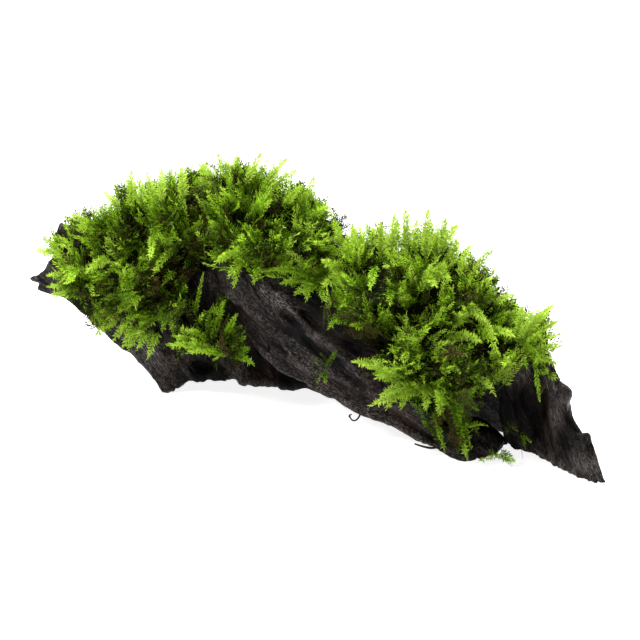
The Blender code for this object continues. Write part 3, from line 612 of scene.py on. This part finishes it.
def seen_spots(points, table):
    """How strong a table's spots, placed as seen from the viewpoint, are at points in millimetres."""
    return hills(points, [(seen_at(place)[0], radius, amount) for place, radius, amount in table])


def grain_coordinates(points):
    """Millimetres along the grain, through the log and across the grain."""
    places, falls = np.array(GRAIN_FALL, float).T
    steps = np.arange(places[0], places[-1])
    drop = np.cumsum(np.interp(steps, places, falls))
    across = points[:, 2] + np.interp(points[:, 0], steps, drop)
    return np.column_stack([points[:, 0], points[:, 1], across])


def wood_relief(points):
    """How far the worn surface stands out at each point, in millimetres."""
    grain = grain_coordinates(points)
    wander = 0.8 * noise(points / 9.0, seed=3)
    grain[:, 1:] += wander[:, None]
    ribs = 1.0 - np.abs(noise(grain * (0.022, 0.2, 0.2), seed=11)) * 2.0
    strands = 1.0 - np.abs(noise(grain * (0.05, 0.42, 0.42), seed=12)) * 2.0
    fibres = noise(grain * (0.12, 0.95, 0.95), seed=13)
    cracks = np.clip(1.0 - np.abs(noise(grain * (0.025, 0.17, 0.17), seed=14)) * 9.0, 0.0, 1.0)
    pits = noise(points / 1.9, seed=15)
    height = 0.55 * ribs + 0.32 * strands + 0.16 * fibres - 1.1 * cracks + 0.16 * pits - 0.55
    return hills(points, CARVED_KNOBS, hills(points, CARVED_LINES, height))


def wet_wood(settings):
    """Wet, nearly black wood: bright grains on worn places painted as glints, smooth furrows darkened partly
    as painted shade, cracks and hollows painted near black as shade, brown and olive stains.
    """
    finish = Finish("wet_wood")
    grain = finish.add("ShaderNodeAttribute", {"attribute_name": "grain"}, output=1)
    relief, brown, olive, hollow_shade, coarse = (
        finish.add("ShaderNodeAttribute", {"attribute_name": name}, output=2)
        for name in ("relief", "brown", "olive", "hollow_shade", "coarse"))
    streaks = finish.noise(grain, (0.05, 0.5, 0.5), detail=5.0, roughness=0.6)
    fibres = finish.noise(grain, (0.16, 1.9, 1.9), detail=4.0, roughness=0.6)
    granules = finish.noise(grain, (0.9, 2.3, 2.3), roughness=0.7)
    blotches = finish.noise(grain, (0.045, 0.08, 0.08))
    ridge = finish.span(relief + streaks * 1.6 + fibres * 2.7 + granules * 0.7, 1.2, 3.1)
    # Where the grain is worn: rough patches, ridges and blotches. Bright grains are painted there as glints,
    # and the bump is strongest.
    worn = finish.span(coarse * 0.8 + ridge * 0.5 + blotches * 0.4, 0.35, 1.3)
    # Painted glints: bright grains on worn places stand in for highlights on wet wood.
    painted_glints = finish.span(granules + fibres * 0.3, 0.63, 0.77) * worn
    stained = finish.span(blotches + streaks * 0.4 + brown, 0.75, 1.15, 0.0, 0.85)
    mossy = finish.span(olive + fibres * 0.5 + streaks * 0.4, 0.75, 1.3, 0.0, 0.8)
    # Painted shade: the deepest cracks and furrows are coloured near black.
    crack_shade = finish.span(relief + fibres * 0.6, -1.3, -0.45, 0.9, 0.0)
    # Furrows darker than ridges: partly worn wood on the ridges, partly painted shade in the furrows.
    colour = finish.mix(ridge, settings.dark, settings.worn)
    layers = (
        (stained, settings.brown), (mossy, settings.olive), (painted_glints, settings.light),
        (crack_shade, (0.0006, 0.0005, 0.0005)),
        # Painted shade: hollows, holes and under-edges turn near black.
        (finish.span(hollow_shade, 0.1, 0.8, 0.0, 0.92), (0.0008, 0.0007, 0.0007)),
    )
    for share, upper in layers:
        colour = finish.mix(share, colour, upper)
    bump = finish.add("ShaderNodeBump", None, {
        "Strength": 0.9, "Distance": 0.0006,
        "Height": granules * (worn * 0.9 + 0.15) + fibres * 0.6 + streaks * 0.5})
    shader = finish.add("ShaderNodeBsdfPrincipled", None, {
        "Base Color": colour, "Roughness": finish.span(granules, 0.4, 0.68, 0.5, 0.22), "Normal": bump,
        "Specular IOR Level": 0.06, "Coat Roughness": 0.3,
        "Coat Weight": finish.span(worn * 0.5 + granules - hollow_shade * 0.6, 0.5, 1.0, 0.0, 0.27)})
    return finish.end(shader)


def dry_root():
    """Dull black bark of the hair roots."""
    finish = Finish("root_bark")
    place = finish.add("ShaderNodeTexCoord", output=3)
    rings = finish.noise(place, (2500.0, 2500.0, 2500.0))
    colour = finish.mix(rings, (0.004, 0.003, 0.0025), (0.018, 0.013, 0.01))
    bump = finish.add("ShaderNodeBump", None, {"Strength": 0.5, "Distance": 0.0001, "Height": rings})
    shader = finish.add("ShaderNodeBsdfPrincipled", None, {
        "Base Color": colour, "Roughness": rings * 0.3 + 0.5, "Normal": bump, "Specular IOR Level": 0.25})
    return finish.end(shader)


def moss_leaf(settings):
    """Thin moist leaves. Across the map runs a shoot's freshness, and up the map its depth in the clump."""
    finish = Finish("moss_leaf")
    place = finish.add("ShaderNodeUVMap", {"uv_map": "OFBake"})
    tone, height = (finish.add("ShaderNodeSeparateXYZ", None, {0: place}, output=axis) for axis in (0, 1))
    colour = finish.mix(finish.span(tone, 0.28, 0.6), settings.deep, settings.fresh)
    # Higher up the clump leaves turn toward the tip colour: partly fresh tips, partly painted light.
    colour = finish.mix(finish.span(height * 0.7 + tone, 0.85, 1.5), colour, settings.tip)
    colour = finish.mix(finish.span(tone, 0.2, 0.36, 1.0, 0.0), colour, settings.withered)
    # Painted shade: the deeper in the clump, the nearer the colour comes to black.
    shade = finish.span(height, 0.05, 0.74, 0.03, 1.0)
    colour = finish.mix(shade, (0.003, 0.004, 0.001), colour)
    leaf = finish.add("ShaderNodeBsdfPrincipled", None, {
        "Base Color": colour, "Roughness": finish.span(height, 0.1, 0.6, 0.9, 0.42),
        "Specular IOR Level": 0.05})
    glow = finish.add("ShaderNodeBsdfTranslucent", None, {"Color": (0.33, 0.56, 0.02, 1.0)})
    share = finish.span(tone * shade, 0.2, 0.8, 0.0, 0.34)
    return finish.end(finish.add("ShaderNodeMixShader", None, {0: share, 1: leaf, 2: glow}))


def shoots_from(start, run, bend, face, tone, low, high, leaf):
    """Leafy shoots as arrays, one row each. A shoot starts at a point, runs one way and bends
    more and more another way. Its leaves lie across its face. Low and high are its height in
    the clump from 0 to 1 at both ends, and leaf is its leaves' length."""
    side = unit(np.cross(run, face))
    return {"start": start, "run": run, "bend": bend, "side": side, "tone": tone, "low": low,
            "high": high, "leaf": leaf}


def some_of(shoots, rows):
    """The shoots of some rows, which may repeat."""
    return {key: value[rows] for key, value in shoots.items()}


def place_on(shoots, share):
    """Points on shoots at a share of their length."""
    t = share[:, None]
    return shoots["start"] + shoots["run"] * t + shoots["bend"] * t * t


def heading_on(shoots, share):
    """Directions of shoots at a share of their length."""
    return unit(shoots["run"] + 2 * shoots["bend"] * share[:, None])


def height_on(shoots, share):
    """Heights in the clump of shoots at a share of their length."""
    return shoots["low"] + (shoots["high"] - shoots["low"]) * share


def along(count):
    """For a count of places on each shoot: the shoot's row, the place's number and its side, 1 or -1."""
    rows = np.repeat(np.arange(len(count)), count)
    number = np.arange(len(rows)) - np.repeat(np.cumsum(count) - count, count)
    return rows, number, np.where(number % 2, 1.0, -1.0)[:, None]


def leaning(heading, side, face, angle, lift):
    """Directions turned from the heading to the side by an angle, and lifted a little to the face."""
    return unit(heading * np.cos(angle)[:, None] + side * np.sin(angle)[:, None] + face * lift[:, None])


def side_shoots(shoots, reach, rng, gap):
    """Side shoots on both sides of each shoot, a gap apart and longest low down, as on a fir tree."""
    count = np.maximum(2, (np.linalg.norm(shoots["run"], axis=1) / gap).astype(int))
    rows, number, sign = along(count)
    own = some_of(shoots, rows)
    share = 0.12 + 0.8 * (number + rng.random(len(rows)) * 0.5) / count[rows]
    heading = heading_on(own, share)
    side = own["side"] * sign
    face = np.cross(side, heading) * sign
    angle = SIDE_SHOOT_ANGLE + rng.normal(0.0, 0.16, len(rows))
    direction = leaning(heading, side, face, angle, rng.normal(0.0, 0.22, len(rows)))
    taper = np.minimum(1.0, share * 4) * (1.02 - share) ** 0.8
    size = reach[rows] * taper * rng.uniform(0.75, 1.2, len(rows))
    low = height_on(own, share)
    return shoots_from(
        place_on(own, share), direction * size[:, None], heading * (size * 0.22)[:, None], face,
        own["tone"], low, np.minimum(1.0, low + 0.06 * size / MM), own["leaf"] * 0.9)


def leaves(shoots, spacing, rng, first=0.0):
    """Pointed folded leaves on both sides of every shoot, as points, faces and map places.
    The part of a shoot before the first share is bare."""
    length = np.linalg.norm(shoots["run"], axis=1) * (1.0 - first)
    count = np.maximum(2, np.ceil(length / spacing).astype(int)) * 2
    rows, number, sign = along(count)
    own = some_of(shoots, rows)
    share = first + (1.0 - first) * (number + 0.7) / count[rows]
    heading = heading_on(own, share)
    side = own["side"] * sign
    face = unit(np.cross(side, heading))
    angle = LEAF_ANGLE - LEAF_CLOSING * share ** 3 + rng.normal(0.0, 0.12, len(rows))
    direction = leaning(heading, side, face, angle, rng.normal(0.1, 0.33, len(rows)))
    across = unit(np.cross(direction, face + 0.3 * rng.normal(0.0, 1.0, (len(rows), 3))))
    size = own["leaf"] * (1.0 - 0.5 * share ** 3) * rng.uniform(0.8, 1.15, len(rows))
    base = place_on(own, share)
    middle = base + direction * (size * 0.38)[:, None]
    width = across * (size * 0.145)[:, None]
    tip = base + direction * size[:, None] + heading * (size * 0.16)[:, None]
    points = np.stack([base, middle + width, tip, middle - width], axis=1)
    tone = np.clip(own["tone"] + rng.normal(0.0, 0.04, len(rows)), 0.02, 0.97)
    low = np.clip(height_on(own, share), 0.32, 0.9)
    uvs = np.stack([np.stack([tone + right, low + up], axis=1) for right, up in LEAF_MAP], axis=1)
    return points.reshape(-1, 3), np.arange(len(rows) * 4).reshape(-1, 4), uvs.reshape(-1, 2)


def stems(shoots):
    """Three-sided stems that taper to the tip, as points, faces and map places."""
    count = len(shoots["tone"])
    shares = np.linspace(0.0, 1.0, 5)
    share = np.tile(shares, count)
    own = some_of(shoots, np.repeat(np.arange(count), len(shares)))
    side = own["side"]
    face = np.cross(side, heading_on(own, share))
    centre = place_on(own, share)
    size = STEM_RADIUS * (1.0 - 0.75 * share)
    corners = [centre + (side * math.cos(turn) + face * math.sin(turn)) * size[:, None]
               for turn in np.arange(3) * math.tau / 3]
    ring = np.arange(3)
    rings = np.stack([ring, (ring + 1) % 3, (ring + 1) % 3 + 3, ring + 3], axis=1)
    starts = (np.arange(count)[:, None] * len(shares) + np.arange(len(shares) - 1)).reshape(-1, 1, 1) * 3
    tone = np.repeat(own["tone"] * 0.8, 3) + np.tile((0.0, 0.01, 0.005), len(share))
    # Stems lie lower on the map than their shoot, so they take more painted shade.
    low = np.repeat(height_on(own, share), 3) * 0.7
    uvs = np.clip(np.column_stack([tone, low]), 0.01, 0.99)
    return np.stack(corners, axis=1).reshape(-1, 3), (rings + starts).reshape(-1, 4), uvs


def foliage(main, branches, settings, rng, bare):
    """Leaves and stems of main shoots with a bare base, and the leaves of their side shoots."""
    return [
        leaves(main, settings.leaf_spacing, rng, bare),
        leaves(branches, settings.leaf_spacing * 0.9, rng),
        stems(main),
    ]


def hand_shoots(table, rng, form=None):
    """The shoots of a given table, and their side shoots. A root in front of the clump's
    form is moved back to it, as seen from the viewpoint."""
    roots, tips, arches, leaf, reach, tone = (np.array(column, float) for column in zip(*table))
    start, tip = seen_at(roots) * MM, seen_at(tips) * MM
    if form is not None:
        away = unit(start - EYE * MM)
        gap = clear_way(form, start, away, SEARCH_BEHIND)
        covered = clear_way(form, start, -away, SEARCH_BEFORE) < SEARCH_BEFORE
        gap[(gap > SEARCH_BEHIND - 0.0001) | covered] = 0.0
        start = start + away * gap[:, None]
    bend = -4.0 * MM * arches[:, None] * UP
    run = tip - start - bend
    toward = unit(seen_at((0, 0, 100)) - seen_at((0, 0, 0)))
    face = unit(toward + rng.normal(0.0, 0.35, run.shape))
    low, high = np.full(len(table), 0.35), np.full(len(table), 0.95)
    main = shoots_from(start, run, bend, face, tone, low, high, leaf * MM)
    branched = reach > 0
    return main, side_shoots(some_of(main, branched), reach[branched] * MM, rng, gap=0.0009)


def soft_form(nodes):
    """The nodes' form without its facets, as a mesh with small even faces and without loose crumbs."""
    mesh = evaluated_mesh(
        solid_of(nodes),
        ("REMESH", {"mode": "VOXEL", "voxel_size": FORM_DETAIL, "use_smooth_shade": True}),
        ("SMOOTH", {"factor": 0.6, "iterations": 6}),
    )
    shape = bmesh.new()
    shape.from_mesh(mesh)
    seen, crumbs = set(), []
    for vertex in shape.verts:
        if vertex in seen:
            continue
        shell, waiting = {vertex}, [vertex]
        while waiting:
            here = waiting.pop()
            fresh = [edge.other_vert(here) for edge in here.link_edges]
            fresh = [other for other in fresh if other not in shell]
            shell.update(fresh)
            waiting += fresh
        seen |= shell
        if len(shell) < CRUMB_POINTS:
            crumbs += shell
    bmesh.ops.delete(shape, geom=crumbs, context="VERTS")
    shape.to_mesh(mesh)
    shape.free()
    return mesh


def toward_viewer(normals):
    """How far directions lean toward the viewer and a little up, from -1 to 1."""
    return normals @ unit(np.array([math.sin(VIEW_TURN), -math.cos(VIEW_TURN), 0.3]))


def extra_stand(points, normals):
    """How much higher the moss stands at each point, from STANDS, in millimetres. On the side away
    from the viewer only its barest places count."""
    away = points / MM - EYE
    seen = np.column_stack([away @ RIGHT, away @ ABOVE]) * VIEW_DISTANCE / (away @ AHEAD)[:, None]
    height = hills(seen, STANDS)
    hidden = (toward_viewer(normals) < -0.45) & (normals[:, 2] > -0.1)
    height[hidden & (height > BARE_BEHIND)] = 0.0
    return height


def smoothed(points, edges, steps):
    """Points of a mesh, each moved to the mean of its neighbours several times."""
    both = np.vstack([edges, edges[:, ::-1]])
    count = np.bincount(both[:, 0], minlength=len(points))[:, None]
    for _ in range(steps):
        total = np.zeros(points.shape)
        np.add.at(total, both[:, 0], points[both[:, 1]])
        points = total / count
    return points


def clump_shade_sheet(form, tree, points, normals, height):
    """A near-black sheet of painted shade under a clump's form as points, faces and map places, and its depth
    under each point. It lies deeper where the moss is low, and less deep where the form is thin."""
    depth = SHADE_SHEET_DEPTH + np.clip(-height - 2.0, 0.0, 8.0) * MM
    thickness = clear_way(tree, points - normals * 0.0002, -normals, farthest=0.1)
    thickness[thickness > 0.099] = 0.0
    shade_sheet = points - normals * np.minimum(depth, thickness * 0.42)[:, None]
    shade_sheet = smoothed(shade_sheet, np.array([edge.vertices[:] for edge in form.edges]), steps=6)
    depth = np.linalg.norm(points - shade_sheet, axis=1)
    shade_sheet += normals * (0.0009 * noise(points / 0.0028, seed=31))[:, None]
    faces = np.array([face.vertices[:] for face in form.polygons])
    faces = faces[(height[faces] > BARE).any(axis=1)]
    # Its map places lie at the very bottom, so it takes the darkest painted shade.
    tone = 0.28 + 0.04 * (np.arange(len(shade_sheet)) % 7) / 7
    return (shade_sheet, faces, np.column_stack([tone, np.linspace(0.01, 0.03, len(shade_sheet))])), depth


def spread_out(points, spacing, rng):
    """Numbers of points that lie about so far apart, one in each cell of a grid."""
    order = rng.permutation(len(points))
    cells = np.floor(points[order] / spacing).astype(int)
    _, first = np.unique(cells, axis=0, return_index=True)
    return order[first]


def spread_over(points, normals, free, gap, rear_gap, rng):
    """Numbers of free points about a gap apart on the viewer's side, and a rear gap on the other."""
    facing = toward_viewer(normals[free]) > -0.15
    front, back = free[facing], free[~facing]
    return np.concatenate([
        front[spread_out(points[front], gap, rng)], back[spread_out(points[back], rear_gap, rng)]])


def nearest(points, others):
    """The number of the nearest other place to each point."""
    return ((points[:, None] - others[None]) ** 2).sum(axis=2).argmin(axis=1)


def tufted_shoots(ground, chosen, middles, wood, settings, size, rng):
    """Full-grown shoots at the chosen points of the ground, fanning out from the roots of tufts at
    the middles, and side shoots on the ferny ones. None starts deep in the wood."""
    points, normals, height, depth = ground
    # Tufts lean outward and up. Some rise above the others, and these are fresher. Upward-facing tufts are
    # lighter, which is painted light from above.
    hubs, hub_normals = points[middles], normals[middles]
    outward = unit((hubs - points.mean(axis=0)) * (1.0, 0.5, 1.0))
    heading = unit(hub_normals * 0.5 + outward * 0.5 + UP * 0.3 + rng.normal(0.0, 0.33, hubs.shape))
    rise = rng.normal(0.0, 0.0012, len(hubs))
    tuft_tone_and_top_light = 0.5 + 0.25 * noise(hubs / 0.013, seed=26) + rng.normal(0.0, 0.12, len(hubs))
    tuft_tone_and_top_light += 0.14 * hub_normals[:, 2] + rise * 60 + seen_spots(hubs / MM, PATCHES)

    # The shoots of a tuft fan out from its root, and none dives into the form.
    place, normal, extra = points[chosen], normals[chosen], height[chosen]
    count = len(chosen)
    tuft = nearest(place, hubs)
    root = hubs[tuft] - heading[tuft] * TUFT_DEPTH
    away = np.linalg.norm(place - hubs[tuft], axis=1) / TUFT_RADIUS
    direction = unit(unit(place - root) + rng.normal(0.0, 0.17, (count, 3)))
    sunk = np.clip(0.12 - (direction * normal).sum(axis=1), 0.0, None)
    direction = unit(direction + normal * sunk[:, None])
    length = settings.shoot * size * rng.uniform(0.7, 1.15, count)
    length += np.clip(extra, 0.0, 6.0) * MM

    # Tips stand lower at a tuft's edge and behind, a few lead, and none sinks into the sheet of painted
    # shade.
    stand = 0.0016 + rise[tuft] - 0.0022 * np.minimum(away, 1.6) ** 2 + rng.normal(0.0, 0.0008, count)
    behind = toward_viewer(normal) < 0.0
    stand += extra * MM - 0.0018 * behind - 0.0028 * np.clip(-normal[:, 1], 0.0, 1.0)
    leading = (rng.random(count) < 0.08) & ~behind
    stand += leading * rng.uniform(0.0015, 0.0035, count)
    stand = np.maximum(stand, rng.uniform(0.001, 0.004, count) - depth[chosen])
    tip = place + direction * stand[:, None]

    # Shoots curve upward a little, and are shorter where the wood is in their way.
    bend = (UP * 0.14 + normal * 0.03 + rng.normal(0.0, 0.1, (count, 3))) * length[:, None]
    run = direction * length[:, None]
    reach = clear_way(wood, tip, -unit(run + bend), farthest=0.03)
    shrink = np.clip((reach + MM) / np.linalg.norm(run + bend, axis=1), 0.35, 1.0)
    run *= shrink[:, None]
    bend *= shrink[:, None]

    # Leaders are fresher, a tuft's edge older. Upward-facing rims of the clump as seen from the front are
    # lighter, which is painted light.
    tone = tuft_tone_and_top_light[tuft] - 0.08 * away + 0.2 * leading + rng.normal(0.0, 0.09, count)
    tone += 0.16 * np.clip(normal[:, 2], 0.0, 1.0) * (1.0 - np.abs(toward_viewer(normal)))
    tone = np.clip(tone, 0.05, 0.97)
    face = unit(normal + rng.normal(0.0, 0.35, (count, 3)))
    leaf = settings.leaf * rng.uniform(0.85, 1.15, count)
    low, high = 1.0 - shrink * 0.9, np.full(count, 0.85)
    main = shoots_from(tip - run - bend, run, bend, face, tone, low, high, leaf)
    ferny = rng.random(count) < 0.3
    main["leaf"][ferny] *= 0.8
    ferns = some_of(main, ferny)
    return main, side_shoots(ferns, np.linalg.norm(ferns["run"], axis=1) * 0.3, rng, gap=0.001)


def old_shoots(ground, chosen, settings, rng):
    """Short old shoots that start between the sheet of painted shade and the chosen points of the ground."""
    points, normals, _, depth = ground
    count = len(chosen)
    run = unit(normals[chosen] * 0.5 + UP * 0.1 + rng.normal(0.0, 0.5, (count, 3))) * OLD_SHOOT
    bend = rng.normal(0.0, 0.001, (count, 3))
    tone = rng.uniform(0.12, 0.5, count)
    start = points[chosen] - normals[chosen] * np.minimum(depth[chosen] - 0.0004, 0.0062)[:, None]
    # Old shoots lie low on the map, so they take deep painted shade.
    low, high, leaf = (np.full(count, value) for value in (0.05, 0.5, settings.leaf))
    return shoots_from(start, run, bend, normals[chosen], tone, low, high, leaf)


def moss_clump(name, nodes, wood, settings, rng, table, size, apart):
    """Tufts of shoots all over the form of some nodes, with short old shoots and a near-black sheet of
    painted shade below.
    Size and apart are their length and spacing, as shares of the settings."""
    form = soft_form(nodes)
    points, normals = gather(form)
    height = extra_stand(points, normals)
    tree = surface_tree(form)
    shade_sheet, depth = clump_shade_sheet(form, tree, points, normals, height)
    bpy.data.meshes.remove(form)
    ground = (points, normals, height, depth)
    room = clear_way(wood, points + normals * 0.0005, normals, farthest=0.005)
    free = np.flatnonzero(room > 0.003)
    gap = settings.spacing * apart
    chosen = spread_over(points, normals, free, gap, gap * 1.55, rng)
    chosen = chosen[height[chosen] > BARE]
    middles = free[spread_out(points[free], TUFT_GAP, rng)]
    grown = tufted_shoots(ground, chosen, middles, wood, settings, size, rng)
    under = spread_over(points, normals, free, gap, gap * 1.35, rng)
    old = old_shoots(ground, under[height[under] > BARE / 2], settings, rng)
    parts = foliage(*grown, settings, rng, bare=0.3)
    parts += [leaves(old, settings.leaf_spacing * 1.6, rng), shade_sheet]
    parts += foliage(*hand_shoots(table, rng, tree), settings, rng, bare=0.05)
    moss_object(name, nodes, parts)


def moss_object(name, nodes, parts):
    """A piece of moss in place of some nodes, from groups of points, faces and map places. Nothing
    of it goes below the floor."""
    points, faces, uvs = zip(*parts)
    starts = np.cumsum([0, *map(len, points)])
    points, uvs = np.vstack(points), np.vstack(uvs)
    faces = np.vstack([group + start for group, start in zip(faces, starts)])
    points[:, 2] = np.maximum(points[:, 2], 0.0004 + 0.1 * np.minimum(points[:, 2], 0.0) ** 2)
    mesh = bpy.data.meshes.new(name)
    mesh.vertices.add(len(points))
    mesh.vertices.foreach_set("co", points.astype(np.float32).ravel())
    mesh.loops.add(faces.size)
    mesh.loops.foreach_set("vertex_index", faces.ravel().astype(np.int32))
    mesh.polygons.add(len(faces))
    mesh.polygons.foreach_set("loop_start", np.arange(0, faces.size, 4, dtype=np.int32))
    layer = mesh.uv_layers.new(name="OFBake")
    layer.uv.foreach_set("vector", uvs[faces.ravel()].astype(np.float32).ravel())
    mesh.update(calc_edges=True)
    mesh.materials.append(bpy.data.materials["moss_leaf"])
    made = placed(name, mesh)
    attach(made, "root")
    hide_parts(*nodes)


class DRIFTWOOD_OT_stage(bpy.types.Operator):
    """Set up the viewpoint, the pale floor and the soft light"""

    bl_idname = "driftwood.stage"
    bl_label = "Stage"

    def execute(self, context):
        settings = context.scene.driftwood_stage
        scene = context.scene
        camera = placed("view", bpy.data.cameras.new("view"))
        turned = Matrix((RIGHT, ABOVE, -AHEAD)).transposed().to_4x4()
        camera.matrix_world = Matrix.Translation(Vector(EYE * MM)) @ turned
        camera.data.sensor_width = 36.0
        camera.data.lens = camera.data.sensor_width * VIEW_DISTANCE / VIEW_WIDTH
        camera.data.clip_start = 0.01
        scene.camera = camera

        finish = Finish("pale_floor")
        bare = finish.add("ShaderNodeBsdfPrincipled", None, {
            "Base Color": (*settings.floor_colour, 1.0), "Roughness": 0.9,
            "Emission Color": (1.0, 1.0, 1.0, 1.0), "Emission Strength": settings.glow})
        bpy.ops.mesh.primitive_plane_add(size=8.0)
        floor = context.object
        floor.name = "floor"
        floor.data.materials.append(finish.end(bare))

        world = bpy.data.worlds.new("studio")
        world.use_nodes = True
        sky = world.node_tree.nodes["Background"]
        sky.inputs["Color"].default_value = (1.0, 1.0, 1.0, 1.0)
        sky.inputs["Strength"].default_value = settings.sky
        scene.world = world
        self.lamp("overhead", (-0.2, 0.2, 0.75), size=0.6, power=settings.lamp)
        self.lamp("front", (-0.55, -0.75, 0.75), size=0.15, power=settings.fill)
        scene.view_settings.view_transform = "Standard"
        scene.view_settings.look = "None"
        return {"FINISHED"}

    def lamp(self, name, place, size, power):
        """A square soft lamp that faces the log."""
        made = placed(name, bpy.data.lights.new(name, "AREA"))
        made.data.size = size
        made.data.energy = power
        made.location = place
        made.rotation_euler = (Vector((0.0, 0.0, 0.04)) - made.location).to_track_quat("-Z", "Y").to_euler()


class DRIFTWOOD_OT_wood(bpy.types.Operator):
    """Carve the driftwood's surface from its three solids"""

    bl_idname = "driftwood.wood"
    bl_label = "Driftwood"

    def execute(self, context):
        settings = context.scene.driftwood_wood
        rough = evaluated_mesh(
            solid_of(WOOD_NODES, grow=0.0002),
            ("REMESH", {"mode": "VOXEL", "voxel_size": settings.voxel}),
            ("SMOOTH", {"factor": 0.5, "iterations": 12}),
        )
        points, normals = gather(rough)
        points += normals * (wood_relief(points / MM) * settings.relief * MM)[:, None]
        points[:, 2] = np.maximum(points[:, 2], 0.0)
        rough.vertices.foreach_set("co", points.ravel())
        rough.update()
        triangles = sum(len(face.vertices) - 2 for face in rough.polygons)
        share = min(1.0, settings.most_triangles / triangles)
        mesh = evaluated_mesh(placed("driftwood", rough), ("DECIMATE", {"ratio": share}))
        mesh.name = "driftwood"
        mesh.shade_smooth()
        places = gather(mesh)[0] / MM
        grain = mesh.attributes.new("grain", "FLOAT_VECTOR", "POINT")
        grain.data.foreach_set("vector", grain_coordinates(places).astype(np.float32).ravel())
        tables = {
            "brown": BROWN_STAINS, "olive": OLIVE_STAINS, "hollow_shade": HOLLOW_SHADE_SPOTS, "coarse": COARSE_GLINT_PATCHES}
        layers = {name: seen_spots(places, table) for name, table in tables.items()}
        layers["relief"] = wood_relief(places)
        for name, values in layers.items():
            layer = mesh.attributes.new(name, "FLOAT", "POINT")
            layer.data.foreach_set("value", values.astype(np.float32))
        mesh.materials.clear()
        mesh.materials.append(wet_wood(settings))
        made = placed("driftwood", mesh)
        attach(made, "root")
        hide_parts(*WOOD_NODES)
        return {"FINISHED"}


class DRIFTWOOD_OT_rootlets(bpy.types.Operator):
    """Grow the hair roots under the front limb"""

    bl_idname = "driftwood.rootlets"
    bl_label = "Hair roots"

    def execute(self, context):
        bark = dry_root()
        for node, strands, thick, thin in ROOTLETS:
            curve = bpy.data.curves.new(node, "CURVE")
            curve.dimensions = "3D"
            curve.bevel_depth = MM
            curve.bevel_resolution = 3
            curve.resolution_u = 8
            curve.use_fill_caps = True
            for strand in strands:
                spline = curve.splines.new("NURBS")
                spline.points.add(len(strand) - 1)
                spline.use_endpoint_u = True
                spline.order_u = 3
                for index, (point, place) in enumerate(zip(spline.points, strand)):
                    point.co = (*(Vector(place) * MM), 1.0)
                    point.radius = thick + (thin - thick) * index / (len(strand) - 1)
            mesh = evaluated_mesh(placed(node + "_wire", curve))
            mesh.materials.append(bark)
            mesh.shade_smooth()
            made = placed(node.replace("rootlet_", "hair_root_"), mesh)
            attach(made, "root")
            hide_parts(node)
        return {"FINISHED"}


class DRIFTWOOD_OT_moss_clumps(bpy.types.Operator):
    """Grow the three large clumps of moss"""

    bl_idname = "driftwood.moss_clumps"
    bl_label = "Moss clumps"

    def execute(self, context):
        settings = context.scene.driftwood_moss
        wood = wood_tree()
        moss_leaf(settings)
        rng = np.random.default_rng(settings.seed)
        clumps = (("left", LEFT_SHOOTS, 1.0), ("centre", CENTRE_SHOOTS, 1.0), ("right", RIGHT_SHOOTS, 1.08))
        for place, table, apart in clumps:
            moss_clump("clump_" + place, ["moss_" + place], wood, settings, rng, table, 1.0, apart)
        return {"FINISHED"}


class DRIFTWOOD_OT_moss_tufts(bpy.types.Operator):
    """Grow the small tufts and sprigs of moss"""

    bl_idname = "driftwood.moss_tufts"
    bl_label = "Moss tufts"

    def execute(self, context):
        settings = context.scene.driftwood_moss
        wood = wood_tree()
        rng = np.random.default_rng(settings.seed + 1)
        bushy = {"front_tuft": FRONT_SHOOTS, "hanging_tuft": HANGING_SHOOTS, "blade_tuft": BLADE_SHOOTS}
        for name, table in bushy.items():
            moss_clump(name, ["moss_" + name], wood, settings, rng, table, size=0.5, apart=1.4)
        sparse = {"limb_sprig": LIMB_SHOOTS, "cavity_sprig": CAVITY_SHOOTS, "fallen_sprig": FALLEN_SHOOTS}
        for name, table in sparse.items():
            moss_object(name, ["moss_" + name], foliage(*hand_shoots(table, rng), settings, rng, bare=0.0))
        return {"FINISHED"}


class DRIFTWOOD_PT_parts(bpy.types.Panel):
    """The log's parts and their settings"""

    bl_label = "Moss on Driftwood"
    bl_space_type = "VIEW_3D"
    bl_region_type = "UI"
    bl_category = "Driftwood"

    def draw(self, context):
        for group in SETTINGS:
            box = self.layout.box()
            settings = getattr(context.scene, group)
            for name in settings.bl_rna.properties.keys():
                if name not in ("rna_type", "name"):
                    box.prop(settings, name)
        for operator in OPERATORS:
            self.layout.operator(operator.bl_idname)


SETTINGS = {"driftwood_stage": StageSettings, "driftwood_wood": WoodSettings, "driftwood_moss": MossSettings}
OPERATORS = (
    DRIFTWOOD_OT_stage, DRIFTWOOD_OT_wood, DRIFTWOOD_OT_rootlets, DRIFTWOOD_OT_moss_clumps,
    DRIFTWOOD_OT_moss_tufts,
)


def register():
    """Make the settings, operators and panel known."""
    for kind in (*SETTINGS.values(), *OPERATORS, DRIFTWOOD_PT_parts):
        bpy.utils.register_class(kind)
    for name, kind in SETTINGS.items():
        setattr(bpy.types.Scene, name, PointerProperty(type=kind))


def unregister():
    """Take the settings, operators and panel away."""
    for name in SETTINGS:
        delattr(bpy.types.Scene, name)
    for kind in (DRIFTWOOD_PT_parts, *reversed(OPERATORS), *SETTINGS.values()):
        bpy.utils.unregister_class(kind)


def main():
    """Build everything in order."""
    register()
    bpy.ops.driftwood.stage()
    bpy.ops.driftwood.wood()
    bpy.ops.driftwood.rootlets()
    bpy.ops.driftwood.moss_clumps()
    bpy.ops.driftwood.moss_tufts()
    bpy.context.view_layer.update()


if __name__ == "__main__":
    main()
